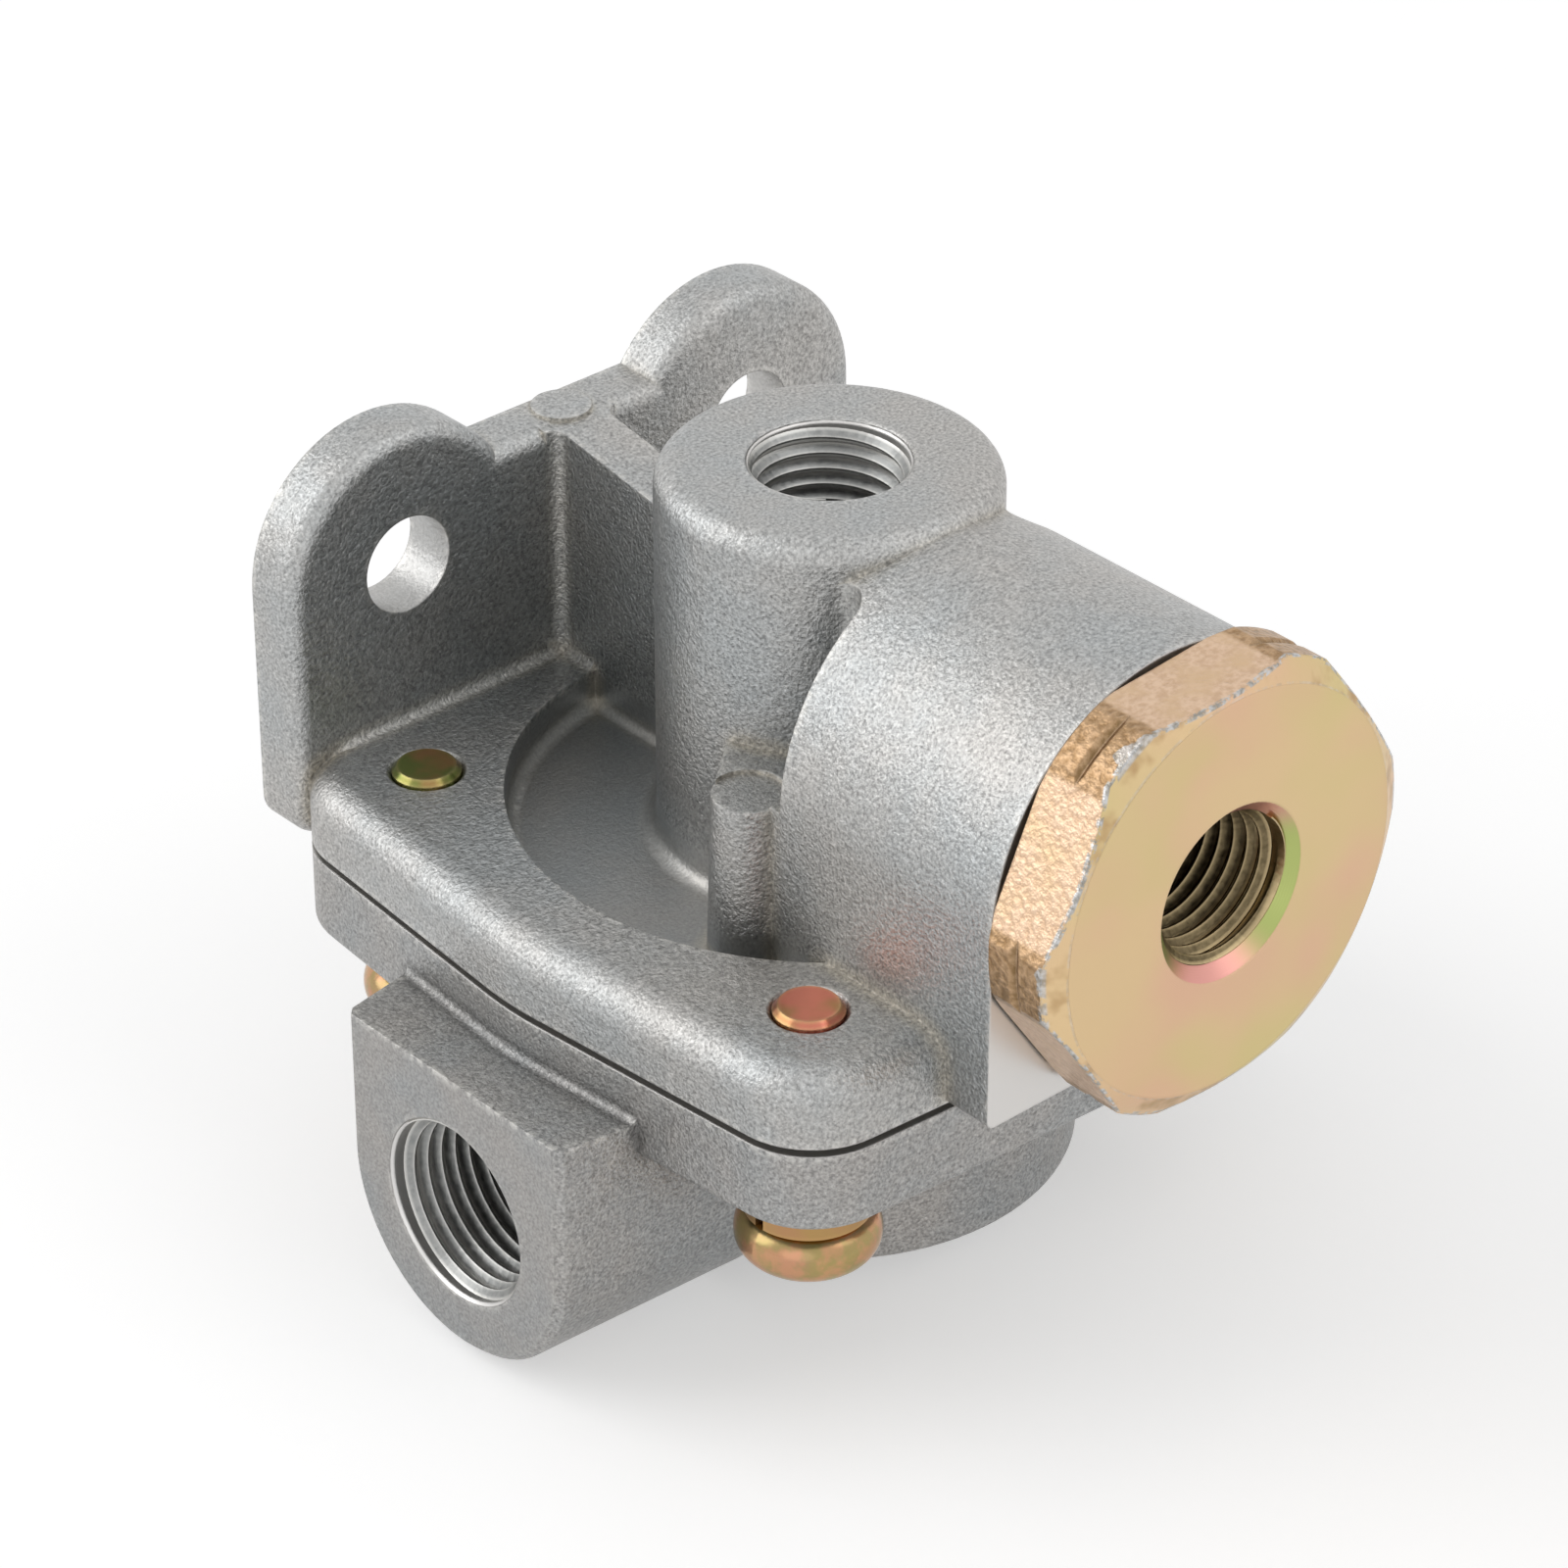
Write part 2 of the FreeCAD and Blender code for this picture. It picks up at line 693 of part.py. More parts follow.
def delivery_boss(side):
    """Boss of one delivery port, flared towards the flange, its edge broken round the face."""
    inner_x = valve_chamber_radius + joining_depth
    length = delivery_face - inner_x
    low_half = delivery_boss_radius + length * math.tan(math.radians(delivery_boss_draft))
    top_half = delivery_boss_radius + length * math.tan(math.radians(delivery_boss_flare))
    edge = delivery_edge_radius
    face_half = delivery_boss_radius - edge
    top = -delivery_boss_top
    outer = delivery_section(face_half, face_half, side * delivery_face, top)
    rim = delivery_section(delivery_boss_radius, delivery_boss_radius, side * (delivery_face - edge), top)
    inner = delivery_section(low_half, top_half, side * inner_x, top)
    shell = Part.makeLoft([rim, inner], True, True)
    return shell.fuse(Part.makeLoft([outer, rim], True, True))


def delivery_port(side):
    """Tapped delivery hole with its chamfer and the passage to the valve chamber."""
    outward = Vector(side, 0, 0)
    mouth = Vector(side * delivery_face, 0, -delivery_axis_depth)
    thread_end = mouth - outward * delivery_thread_length
    chamber_side = Vector(side * (valve_chamber_radius - joining_depth), 0, -delivery_axis_depth)
    return [
        rod(delivery_thread_radius, mouth, thread_end),
        countersink(delivery_thread_radius, delivery_port_chamfer, mouth, outward),
        rod(delivery_passage_radius, thread_end, chamber_side),
    ]


def exhaust_tube():
    """Tube in the middle of the cover whose rim is the exhaust seat."""
    seat = Vector(0, 0, exhaust_seat_level)
    tube = rod(exhaust_tube_radius, Vector(0, 0, outlet_roof), seat)
    return tube.cut(rod(exhaust_passage_radius, Vector(0, 0, outlet_roof), seat))


def outlet_spider():
    """Hub and spokes that carry the exhaust flap across the outlet."""
    hub_top = outlet_roof + outlet_hub_height
    hub = rod(outlet_hub_radius, Vector(0, 0, outlet_roof), Vector(0, 0, hub_top))
    spokes = []
    for index in range(outlet_spoke_count):
        spoke = box_between(
            (0, exhaust_passage_radius + joining_depth),
            (-outlet_spoke_width / 2, outlet_spoke_width / 2),
            (outlet_roof, outlet_roof + outlet_spoke_height),
        )
        spoke.rotate(Vector(0, 0, 0), UP, 90 + index * 360 / outlet_spoke_count)
        spokes.append(spoke)
    spider = hub.multiFuse(spokes)
    bore = flap_screw_radius + tapped_hole_clearance
    return spider.cut(rod(bore, Vector(0, 0, outlet_roof), Vector(0, 0, hub_top)))


def chamber_ribs():
    """Upright ribs that keep the release diaphragm central."""
    inner = diaphragm_radius + chamber_rib_clearance
    ribs = []
    for index in range(chamber_rib_count):
        bar = box_between(
            (inner, valve_chamber_radius + joining_depth),
            (-chamber_rib_thickness / 2, chamber_rib_thickness / 2),
            (-chamber_floor, -gasket_thickness - lip_clearance),
        )
        bar.rotate(Vector(0, 0, 0), UP, (index + 0.5) * 360 / chamber_rib_count)
        ribs.append(bar)
    return ribs


def cover():
    """One-piece casting below the joint: flange, exhaust boss and two delivery bosses."""
    thickness = cover_flange_bottom - gasket_thickness
    flange = flange_face(0, -gasket_thickness).extrude(DOWN * thickness)
    flange = flange.makeFillet(cover_flange_rounding, edges_at(flange, -cover_flange_bottom))
    flange = in_front_of_lip(flange)
    boss = rod(exhaust_boss_radius, Vector(0, 0, -gasket_thickness), Vector(0, 0, -exhaust_boss_bottom))
    boss = boss.makeFillet(exhaust_boss_rounding, edges_at(boss, -exhaust_boss_bottom))
    pad_top = -gasket_thickness - joining_depth
    pads = [rod(screw_pad_radius, Vector(x, y, pad_top), Vector(x, y, -screw_pad_bottom))
            for x, y in screw_places]
    pads = [in_front_of_lip(pad) for pad in pads]
    shell = flange.multiFuse([delivery_boss(-1), delivery_boss(1)]).removeSplitter()
    roots = [e for e in edges_at(shell, -delivery_boss_top)
             if flange_waist_radius / 2 < abs(e.CenterOfMass.x) < delivery_face - selection_margin
             and abs(e.CenterOfMass.y) < delivery_boss_radius - selection_margin]
    shell = shell.makeFillet(delivery_root_fillet, roots)
    shell = shell.multiFuse([boss] + pads).removeSplitter()
    chamber = rod(valve_chamber_radius, Vector(0, 0, -gasket_thickness), Vector(0, 0, -chamber_floor))
    recess = rod(outlet_recess_radius, Vector(0, 0, outlet_roof), Vector(0, 0, -exhaust_boss_bottom))
    outlet = rod(exhaust_passage_radius, Vector(0, 0, -chamber_floor), Vector(0, 0, outlet_roof))
    ports = delivery_port(-1) + delivery_port(1)
    shell = shell.cut([chamber, recess, outlet] + ports + screw_holes(-screw_pad_bottom, -gasket_thickness))
    return shell.multiFuse([exhaust_tube(), outlet_spider()] + chamber_ribs()).removeSplitter()


def pan_head(radius, height, rounding, base):
    """Cushion-shaped screw head below a point, rounded on its whole side."""
    head = Part.makeCylinder(radius, height, base, DOWN)
    upper = height - rounding - screw_head_land
    head = head.makeFillet(rounding, edges_at(head, base.z - height))
    return head.makeFillet(upper, edges_at(head, base.z))


def cross_recess(base, width, length, depth):
    """Cross slot that takes the screwdriver."""
    arms = []
    for angle in (0, 90):
        arm = box_between((-length / 2, length / 2), (-width / 2, width / 2), (0, depth))
        arm.rotate(Vector(0, 0, 0), UP, angle)
        arm.translate(base)
        arms.append(arm)
    return arms


def cover_screw(x, y):
    """Cover screw from below, its tip standing just above the body flange."""
    bearing = Vector(x, y, -screw_pad_bottom - lock_washer_thickness)
    tip = body_flange_thickness + screw_tip_height
    shank = rod(screw_radius, bearing, Vector(x, y, tip - screw_tip_chamfer))
    cone = Part.makeCone(
        screw_radius, screw_tip_radius, screw_tip_chamfer, Vector(x, y, tip - screw_tip_chamfer))
    head = pan_head(screw_head_radius, screw_head_height, screw_head_rounding, bearing)
    low = bearing + DOWN * screw_head_height
    recess = cross_recess(low, screw_recess_width, screw_recess_length, screw_recess_depth)
    return head.multiFuse([shank, cone]).removeSplitter().cut(recess)


def lock_washer(x, y):
    """Split lock washer between screw head and cover."""
    top = Vector(x, y, -screw_pad_bottom)
    low = top + DOWN * lock_washer_thickness
    inner = screw_radius + through_hole_clearance / 2
    ring = rod(lock_washer_outer_radius, low, top).cut(rod(inner, low, top))
    half = lock_washer_split / 2
    outward = math.copysign(lock_washer_outer_radius + cutter_overrun, x)
    split = box_between(sorted((x, x + outward)), (y - half, y + half), (low.z, top.z))
    return ring.cut(split)


def supply_cap_nut():
    """Hexagon cap nut with turned corners, the supply port and the check seat."""
    back = -(barrel_front + nut_gap)
    front = back - nut_thickness
    corner = nut_across_flats / 2 / math.cos(math.radians(30))
    axis = Vector(0, 0, barrel_axis_height)
    points = []
    for index in range(7):
        turn = math.radians(nut_turn + 60 * index)
        points.append(axis + Vector(corner * math.cos(turn), front, corner * math.sin(turn)))
    prism = Part.Face(Part.makePolygon(points)).extrude(BACKWARD * nut_thickness)
    middle = nut_groove_from_face
    half = nut_groove_width / 2
    blank = turned([
        (0, 0),
        (nut_face_radius, 0),
        (nut_corner_radius, nut_face_chamfer),
        (nut_corner_radius, middle - half),
        (nut_groove_radius, middle),
        (nut_corner_radius, middle + half),
        (nut_corner_radius, nut_thickness - nut_back_chamfer),
        (nut_back_radius, nut_thickness),
        (0, nut_thickness),
    ], axis + Vector(0, front, 0), BACKWARD)
    shank_radius = cap_thread_radius - cap_thread_clearance
    shank = rod(shank_radius, axis + Vector(0, back, 0), axis + Vector(0, cap_end, 0))
    relief = turned([
        (seal_center_radius() - seal_section_radius(), 0),
        (cap_thread_radius + cutter_overrun, 0),
        (cap_thread_radius + cutter_overrun, seal_groove_depth + nut_gap),
        (seal_center_radius() - seal_section_radius(), seal_groove_depth + nut_gap),
    ], axis + Vector(0, back, 0), BACKWARD)
    seat = rod(supply_seat_radius, axis + Vector(0, cap_end, 0), axis + Vector(0, supply_seat_level, 0))
    nut = prism.common(blank).multiFuse([shank.cut(relief), seat]).removeSplitter()
    mouth = axis + Vector(0, front, 0)
    thread_end = mouth + BACKWARD * supply_thread_length
    return nut.cut([
        rod(supply_thread_radius, mouth, thread_end),
        countersink(supply_thread_radius, supply_port_chamfer, mouth, FORWARD),
        rod(supply_passage_radius, thread_end, axis + Vector(0, supply_seat_level, 0)),
    ])


def seal_section_radius():
    """Section radius of the seal ring, squeezed between nut and groove floor."""
    return (seal_groove_depth + nut_gap) / 2


def seal_center_radius():
    """Radius of the seal ring's centre line, outer side on the groove wall."""
    return seal_groove_radius - seal_section_radius()


def cap_nut_seal():
    """Round seal ring under the cap nut."""
    center = Vector(0, -barrel_front - nut_gap + seal_section_radius(), barrel_axis_height)
    return Part.makeTorus(seal_center_radius(), seal_section_radius(), center, BACKWARD)


def ring_diaphragm():
    """Rubber ring clamped between the cap nut and the barrel's shoulder."""
    start = Vector(0, cap_end, barrel_axis_height)
    end = Vector(0, check_shoulder, barrel_axis_height)
    ring = rod(cap_thread_radius - cap_thread_clearance, start, end)
    return ring.cut(rod(ring_inner_radius, start, end))


def double_check_diaphragm():
    """Rubber disc that closes the supply seat or the balance seat."""
    start = Vector(0, supply_seat_level, barrel_axis_height)
    disc = rod(check_disc_radius, start, start + BACKWARD * check_disc_thickness)
    rims = [e for e in disc.Edges if isinstance(e.Curve, Part.Circle)]
    return disc.makeFillet(check_disc_rounding, rims)


def release_diaphragm():
    """Thick rubber disc that rests on the exhaust seat."""
    disc = rod(diaphragm_radius, Vector(0, 0, exhaust_seat_level), Vector(0, 0, diaphragm_top))
    rims = [e for e in disc.Edges if isinstance(e.Curve, Part.Circle)]
    return disc.makeFillet(diaphragm_rounding, rims)


def spring_seat():
    """Moulded plate on the diaphragm with a hub that centres the spring."""
    plate_top = Vector(0, 0, diaphragm_top + spring_seat_thickness)
    plate = rod(spring_seat_radius, Vector(0, 0, diaphragm_top), plate_top)
    hub_top = plate_top + UP * spring_seat_hub_height
    return plate.fuse(rod(spring_seat_hub_radius, Vector(0, 0, diaphragm_top), hub_top))


def release_spring():
    """Coil spring on the spring seat, wound of tilted half turns that meet tangentially."""
    low = diaphragm_top + spring_seat_thickness + spring_end_clearance + spring_wire_radius
    high = spring_pocket_height - spring_end_clearance - spring_wire_radius
    halves = round(2 * spring_turns)
    rise = (high - low) / halves
    tilt = math.degrees(math.atan(rise / 2 / spring_radius))
    turn_radius = math.hypot(spring_radius, rise / 2)
    pieces = []
    for index in range(halves):
        half = Part.makeTorus(turn_radius, spring_wire_radius, Vector(0, 0, 0), UP, 0, 360, 180)
        half.rotate(Vector(0, 0, 0), BACKWARD, tilt)
        half.rotate(Vector(0, 0, 0), UP, 180 * index)
        half.translate(Vector(0, 0, low + rise * (index + 0.5)))
        pieces.append(half)
    return pieces[0].multiFuse(pieces[1:])


def exhaust_flap():
    """Rubber flap that keeps dirt and water out of the exhaust outlet."""
    top = Vector(0, 0, outlet_roof)
    low = top + DOWN * flap_thickness
    return rod(flap_radius, low, top).cut(rod(flap_screw_radius + flap_hole_clearance, low, top))


def exhaust_flap_washer():
    """Flat washer that spreads the screw's load on the flap."""
    top = Vector(0, 0, outlet_roof - flap_thickness)
    low = top + DOWN * flap_washer_thickness
    return rod(flap_washer_radius, low, top).cut(rod(flap_screw_radius + flap_hole_clearance, low, top))


def exhaust_flap_screw():
    """Short screw that holds the flap to the hub in the outlet."""
    bearing = Vector(0, 0, outlet_roof - flap_thickness - flap_washer_thickness)
    reach = flap_thickness + flap_washer_thickness + flap_screw_length
    shank = rod(flap_screw_radius, bearing, bearing + UP * reach)
    head = pan_head(flap_screw_head_radius, flap_screw_head_height, flap_screw_head_rounding, bearing)
    low = bearing + DOWN * flap_screw_head_height
    recess = cross_recess(low, screw_recess_width / 2, flap_screw_head_radius, flap_screw_head_height / 2)
    return head.fuse(shank).removeSplitter().cut(recess)


def all_nodes():
    """Every piece of the valve by name."""
    nodes = {
        "valve_body": valve_body(),
        "cover": cover(),
        "cover_gasket": cover_gasket(),
        "supply_cap_nut": supply_cap_nut(),
        "cap_nut_seal": cap_nut_seal(),
        "ring_diaphragm": ring_diaphragm(),
        "double_check_diaphragm": double_check_diaphragm(),
        "release_diaphragm": release_diaphragm(),
        "spring_seat": spring_seat(),
        "release_spring": release_spring(),
        "exhaust_flap": exhaust_flap(),
        "exhaust_flap_washer": exhaust_flap_washer(),
        "exhaust_flap_screw": exhaust_flap_screw(),
    }
    for number, (x, y) in enumerate(screw_places, 1):
        nodes["cover_screw_%d" % number] = cover_screw(x, y)
        nodes["lock_washer_%d" % number] = lock_washer(x, y)
    return nodes


os.makedirs("parts", exist_ok=True)
to_part_frame = Vector(0, -axis_to_mounting_face, -hole_row_above_joint)
for name, shape in all_nodes().items():
    solids = shape.Solids
    piece = solids[0] if len(solids) == 1 else shape
    piece = piece.copy()
    piece.translate(to_part_frame)
    piece.exportStep("parts/%s.step" % name)
    print(name, len(solids), piece.isValid(), round(piece.Volume, 1))
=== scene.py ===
import math

import bmesh
import bpy
from mathutils import Matrix, Vector


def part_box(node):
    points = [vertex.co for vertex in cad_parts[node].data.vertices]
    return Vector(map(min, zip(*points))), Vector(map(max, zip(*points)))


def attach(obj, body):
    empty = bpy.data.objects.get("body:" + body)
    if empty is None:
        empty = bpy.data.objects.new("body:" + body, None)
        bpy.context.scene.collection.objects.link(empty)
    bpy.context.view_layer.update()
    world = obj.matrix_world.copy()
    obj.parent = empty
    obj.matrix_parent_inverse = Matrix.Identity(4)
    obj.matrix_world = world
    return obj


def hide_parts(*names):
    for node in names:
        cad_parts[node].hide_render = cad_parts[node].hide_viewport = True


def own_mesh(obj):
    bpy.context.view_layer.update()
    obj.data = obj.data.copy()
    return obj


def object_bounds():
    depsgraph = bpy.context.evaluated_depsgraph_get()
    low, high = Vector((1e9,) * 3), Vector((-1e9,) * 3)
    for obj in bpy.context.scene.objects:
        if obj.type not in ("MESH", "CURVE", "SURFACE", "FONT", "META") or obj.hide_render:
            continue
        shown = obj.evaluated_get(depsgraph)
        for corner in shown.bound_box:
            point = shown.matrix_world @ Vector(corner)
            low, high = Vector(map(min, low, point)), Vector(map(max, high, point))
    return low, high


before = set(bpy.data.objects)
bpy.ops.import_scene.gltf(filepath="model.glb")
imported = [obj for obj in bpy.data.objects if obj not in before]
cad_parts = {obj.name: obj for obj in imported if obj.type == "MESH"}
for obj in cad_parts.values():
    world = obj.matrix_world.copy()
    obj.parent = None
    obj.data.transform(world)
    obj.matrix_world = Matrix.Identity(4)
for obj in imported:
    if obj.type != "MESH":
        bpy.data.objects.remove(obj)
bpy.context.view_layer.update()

# Quick exhaust valve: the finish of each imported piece, the cut threads and the
# release spring.
# Metres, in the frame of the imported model: the origin is between the two
# mounting holes on the mounting face, with +Z up and the supply port to -Y.


# Valve body
# One die casting of aluminium: flange, mounting plate, rib, balance boss and
# supply barrel. It is shot blasted all over, then faced where parts seat on it.

MM = 0.001
VALVE_AXIS_Y = -36.4 * MM
JOINT_HEIGHT = -21.3 * MM
BARREL_AXIS_HEIGHT = JOINT_HEIGHT + 17.9 * MM
BARREL_END_FACE = VALVE_AXIS_Y - 38.55 * MM
FLANGE_TOP = JOINT_HEIGHT + 6.45 * MM
RECESS_RADIUS = 27.0 * MM
BALANCE_THREAD_RADIUS = 6.6 * MM
MOUNTING_HOLE_OFFSET = 19.05 * MM
MOUNTING_HOLE_RADIUS = 4.37 * MM
CLEAR_OF_PLATE = -8.0 * MM
NUT_BORE_START = -60.0 * MM
NUT_BORE_RADIUS = 17.0 * MM


def paint(red, green, blue):
    """A colour as it is seen, in steps of 0 to 255, for a colour socket."""
    linear = []
    for step in (red, green, blue):
        share = step / 255
        linear.append(share / 12.92 if share <= 0.04045 else ((share + 0.055) / 1.055) ** 2.4)
    return (*linear, 1.0)


def plug(tree, value, socket):
    """Links another node's output to a socket, or sets a plain value on it."""
    if isinstance(value, bpy.types.NodeSocket):
        tree.links.new(value, socket)
    else:
        socket.default_value = value


def add_node(tree, kind, inputs, **settings):
    made = tree.nodes.new(kind)
    for name, value in settings.items():
        setattr(made, name, value)
    for name, value in inputs.items():
        plug(tree, value, made.inputs[name])
    return made


def calculate(tree, operation, *values):
    return add_node(tree, "ShaderNodeMath", dict(enumerate(values)), operation=operation).outputs[0]


def times(tree, first, *others):
    """The product of two or more values."""
    for other in others:
        first = calculate(tree, "MULTIPLY", first, other)
    return first


def step_up(tree, value, low, high):
    """0 at the low value and 1 at the high one, smooth between and level beyond them."""
    inputs = {"Value": value, "From Min": low, "From Max": high}
    made = add_node(tree, "ShaderNodeMapRange", inputs, interpolation_type="SMOOTHSTEP")
    return made.outputs["Result"]


def blend_colours(tree, share, first, second, way="MIX"):
    inputs = {0: share, 6: first, 7: second}
    return add_node(tree, "ShaderNodeMix", inputs, data_type="RGBA", blend_type=way).outputs[2]


def blend_values(tree, share, first, second):
    return add_node(tree, "ShaderNodeMix", {0: share, 2: first, 3: second}).outputs[0]


def noise(tree, place, scale, detail=2.0, roughness=0.5):
    inputs = {"Vector": place, "Scale": scale, "Detail": detail, "Roughness": roughness}
    return add_node(tree, "ShaderNodeTexNoise", inputs).outputs[0]


def part_place(tree):
    """The place on the part in metres, whole and as x, y and z."""
    place = tree.nodes.new("ShaderNodeTexCoord").outputs["Object"]
    split = add_node(tree, "ShaderNodeSeparateXYZ", {0: place})
    return place, split.outputs[0], split.outputs[1], split.outputs[2]


def distance_from(tree, first, first_center, second, second_center):
    """Distance from a bore's axis, from the two coordinates across it."""
    across = calculate(tree, "SUBTRACT", first, first_center)
    along = calculate(tree, "SUBTRACT", second, second_center)
    squares = [calculate(tree, "POWER", distance, 2) for distance in (across, along)]
    return calculate(tree, "SQRT", calculate(tree, "ADD", *squares))


def effect_group(name, inputs, outputs):
    """An empty shader group with named sockets, and its two end nodes."""
    tree = bpy.data.node_groups.new(name, "ShaderNodeTree")
    sockets = tree.interface
    for socket_name, default in inputs.items():
        socket = sockets.new_socket(socket_name, in_out="INPUT", socket_type="NodeSocketFloat")
        socket.default_value = default
    for socket_name, kind in outputs.items():
        sockets.new_socket(socket_name, in_out="OUTPUT", socket_type=kind)
    return tree, tree.nodes.new("NodeGroupInput").outputs, tree.nodes.new("NodeGroupOutput").inputs


def use_effect(tree, group, **values):
    made = tree.nodes.new("ShaderNodeGroup")
    made.node_tree = group
    for name, value in values.items():
        plug(tree, value, made.inputs[name.replace("_", " ")])
    return made.outputs


def new_finish(name):
    """A material with its Principled shader, ready for the piece's own nodes."""
    finish = bpy.data.materials.new(name)
    finish.use_nodes = True
    return finish, finish.node_tree, finish.node_tree.nodes["Principled BSDF"]


def rounded_edge(tree, radius):
    """A normal that turns softly over sharp edges."""
    return add_node(tree, "ShaderNodeBevel", {"Radius": radius}, samples=2).outputs[0]


def dent(tree, shader, height, strength, depth, edge_normal=None):
    """Lets a pattern of heights dent the surface of a finish."""
    inputs = {"Strength": strength, "Distance": depth, "Height": height}
    if edge_normal is not None:
        inputs["Normal"] = edge_normal
    plug(tree, add_node(tree, "ShaderNodeBump", inputs).outputs[0], shader.inputs["Normal"])


def wear(node_name, finish):
    """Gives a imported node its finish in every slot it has."""
    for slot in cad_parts[node_name].material_slots:
        slot.material = finish


# Fine dents that the blasting shot leaves in soft metal, and spots for its facets, which take
# painted glints
blasted, given, result = effect_group(
    "shot blasted skin",
    {"Dents per Metre": 3400.0},
    {"Height": "NodeSocketFloat", "Facets": "NodeSocketFloat",
     "Grain": "NodeSocketFloat", "Clouds": "NodeSocketFloat"},
)
place = part_place(blasted)[0]
density = given["Dents per Metre"]
fine = noise(blasted, place, density, 2.0, 0.55)
coarse = noise(blasted, place, times(blasted, density, 0.4), 2.0, 0.5)
glint = noise(blasted, place, times(blasted, density, 1.5), 1.0, 0.5)
plug(blasted, calculate(blasted, "MULTIPLY_ADD", coarse, 0.9, fine), result["Height"])
plug(blasted, step_up(blasted, glint, 0.6, 0.74), result["Facets"])
plug(blasted, fine, result["Grain"])
plug(blasted, noise(blasted, place, 60.0, 4.0, 0.6), result["Clouds"])

# Rubbed ridges, hollows and sheltered places, found from the shape round each
# point; the sheltered places are the mask for painted shade. A flat surface
# leaves almost all the space over it open.
FLAT_SHARE = 0.97
edges, given, result = effect_group(
    "ridges and hollows",
    {"Ridge Width": 0.6 * MM, "Ridge Depth": 0.5,
     "Hollow Width": 1.2 * MM, "Shelter Width": 20.0 * MM},
    {"Ridge": "NodeSocketFloat", "Hollow": "NodeSocketFloat", "Shade": "NodeSocketFloat"},
)


def open_share(width, inside):
    """How open the space round a point is, over the metal or, if inside, within it."""
    settings = {"samples": 3, "inside": inside, "only_local": True}
    made = add_node(edges, "ShaderNodeAmbientOcclusion", {"Distance": width}, **settings)
    return made.outputs["AO"]


ridge_end = calculate(edges, "SUBTRACT", FLAT_SHARE, given["Ridge Depth"])
ridge_share = open_share(given["Ridge Width"], True)
hollow_share = open_share(given["Hollow Width"], False)
shade_open_share = open_share(given["Shelter Width"], False)
plug(edges, step_up(edges, ridge_share, FLAT_SHARE, ridge_end), result["Ridge"])
plug(edges, step_up(edges, hollow_share, FLAT_SHARE, 0.6), result["Hollow"])
plug(edges, step_up(edges, shade_open_share, 0.7, 0.2), result["Shade"])

# Fine rings that a turning tool leaves across a faced end
turned, given, result = effect_group(
    "turning marks",
    {"Distance from Axis": 0.0, "Feed": 0.12 * MM},
    {"Height": "NodeSocketFloat"},
)
ring = calculate(turned, "DIVIDE", given["Distance from Axis"], given["Feed"])
ring_height = calculate(turned, "SINE", times(turned, ring, 2 * math.pi))
patchy = noise(turned, part_place(turned)[0], 300.0)
plug(turned, times(turned, ring_height, patchy), result["Height"])

CAST_GREY = paint(170, 171, 170)
CAST_COOL = paint(158, 163, 166)
CAST_WARM = paint(178, 171, 165)
# Painted shade colour for sheltered places
PAINTED_SHADE_BLUE = paint(84, 92, 96)
HOLLOW_TAN = paint(186, 180, 168)
# Bright colour for rubbed edges, and for the painted glints of the blasted skin
WORN_EDGE_AND_GLINT_BRIGHT = paint(222, 220, 215)
FACED_WHITE = paint(220, 216, 212)
FACED_COOL = paint(210, 210, 209)
SOIL = paint(84, 82, 78)


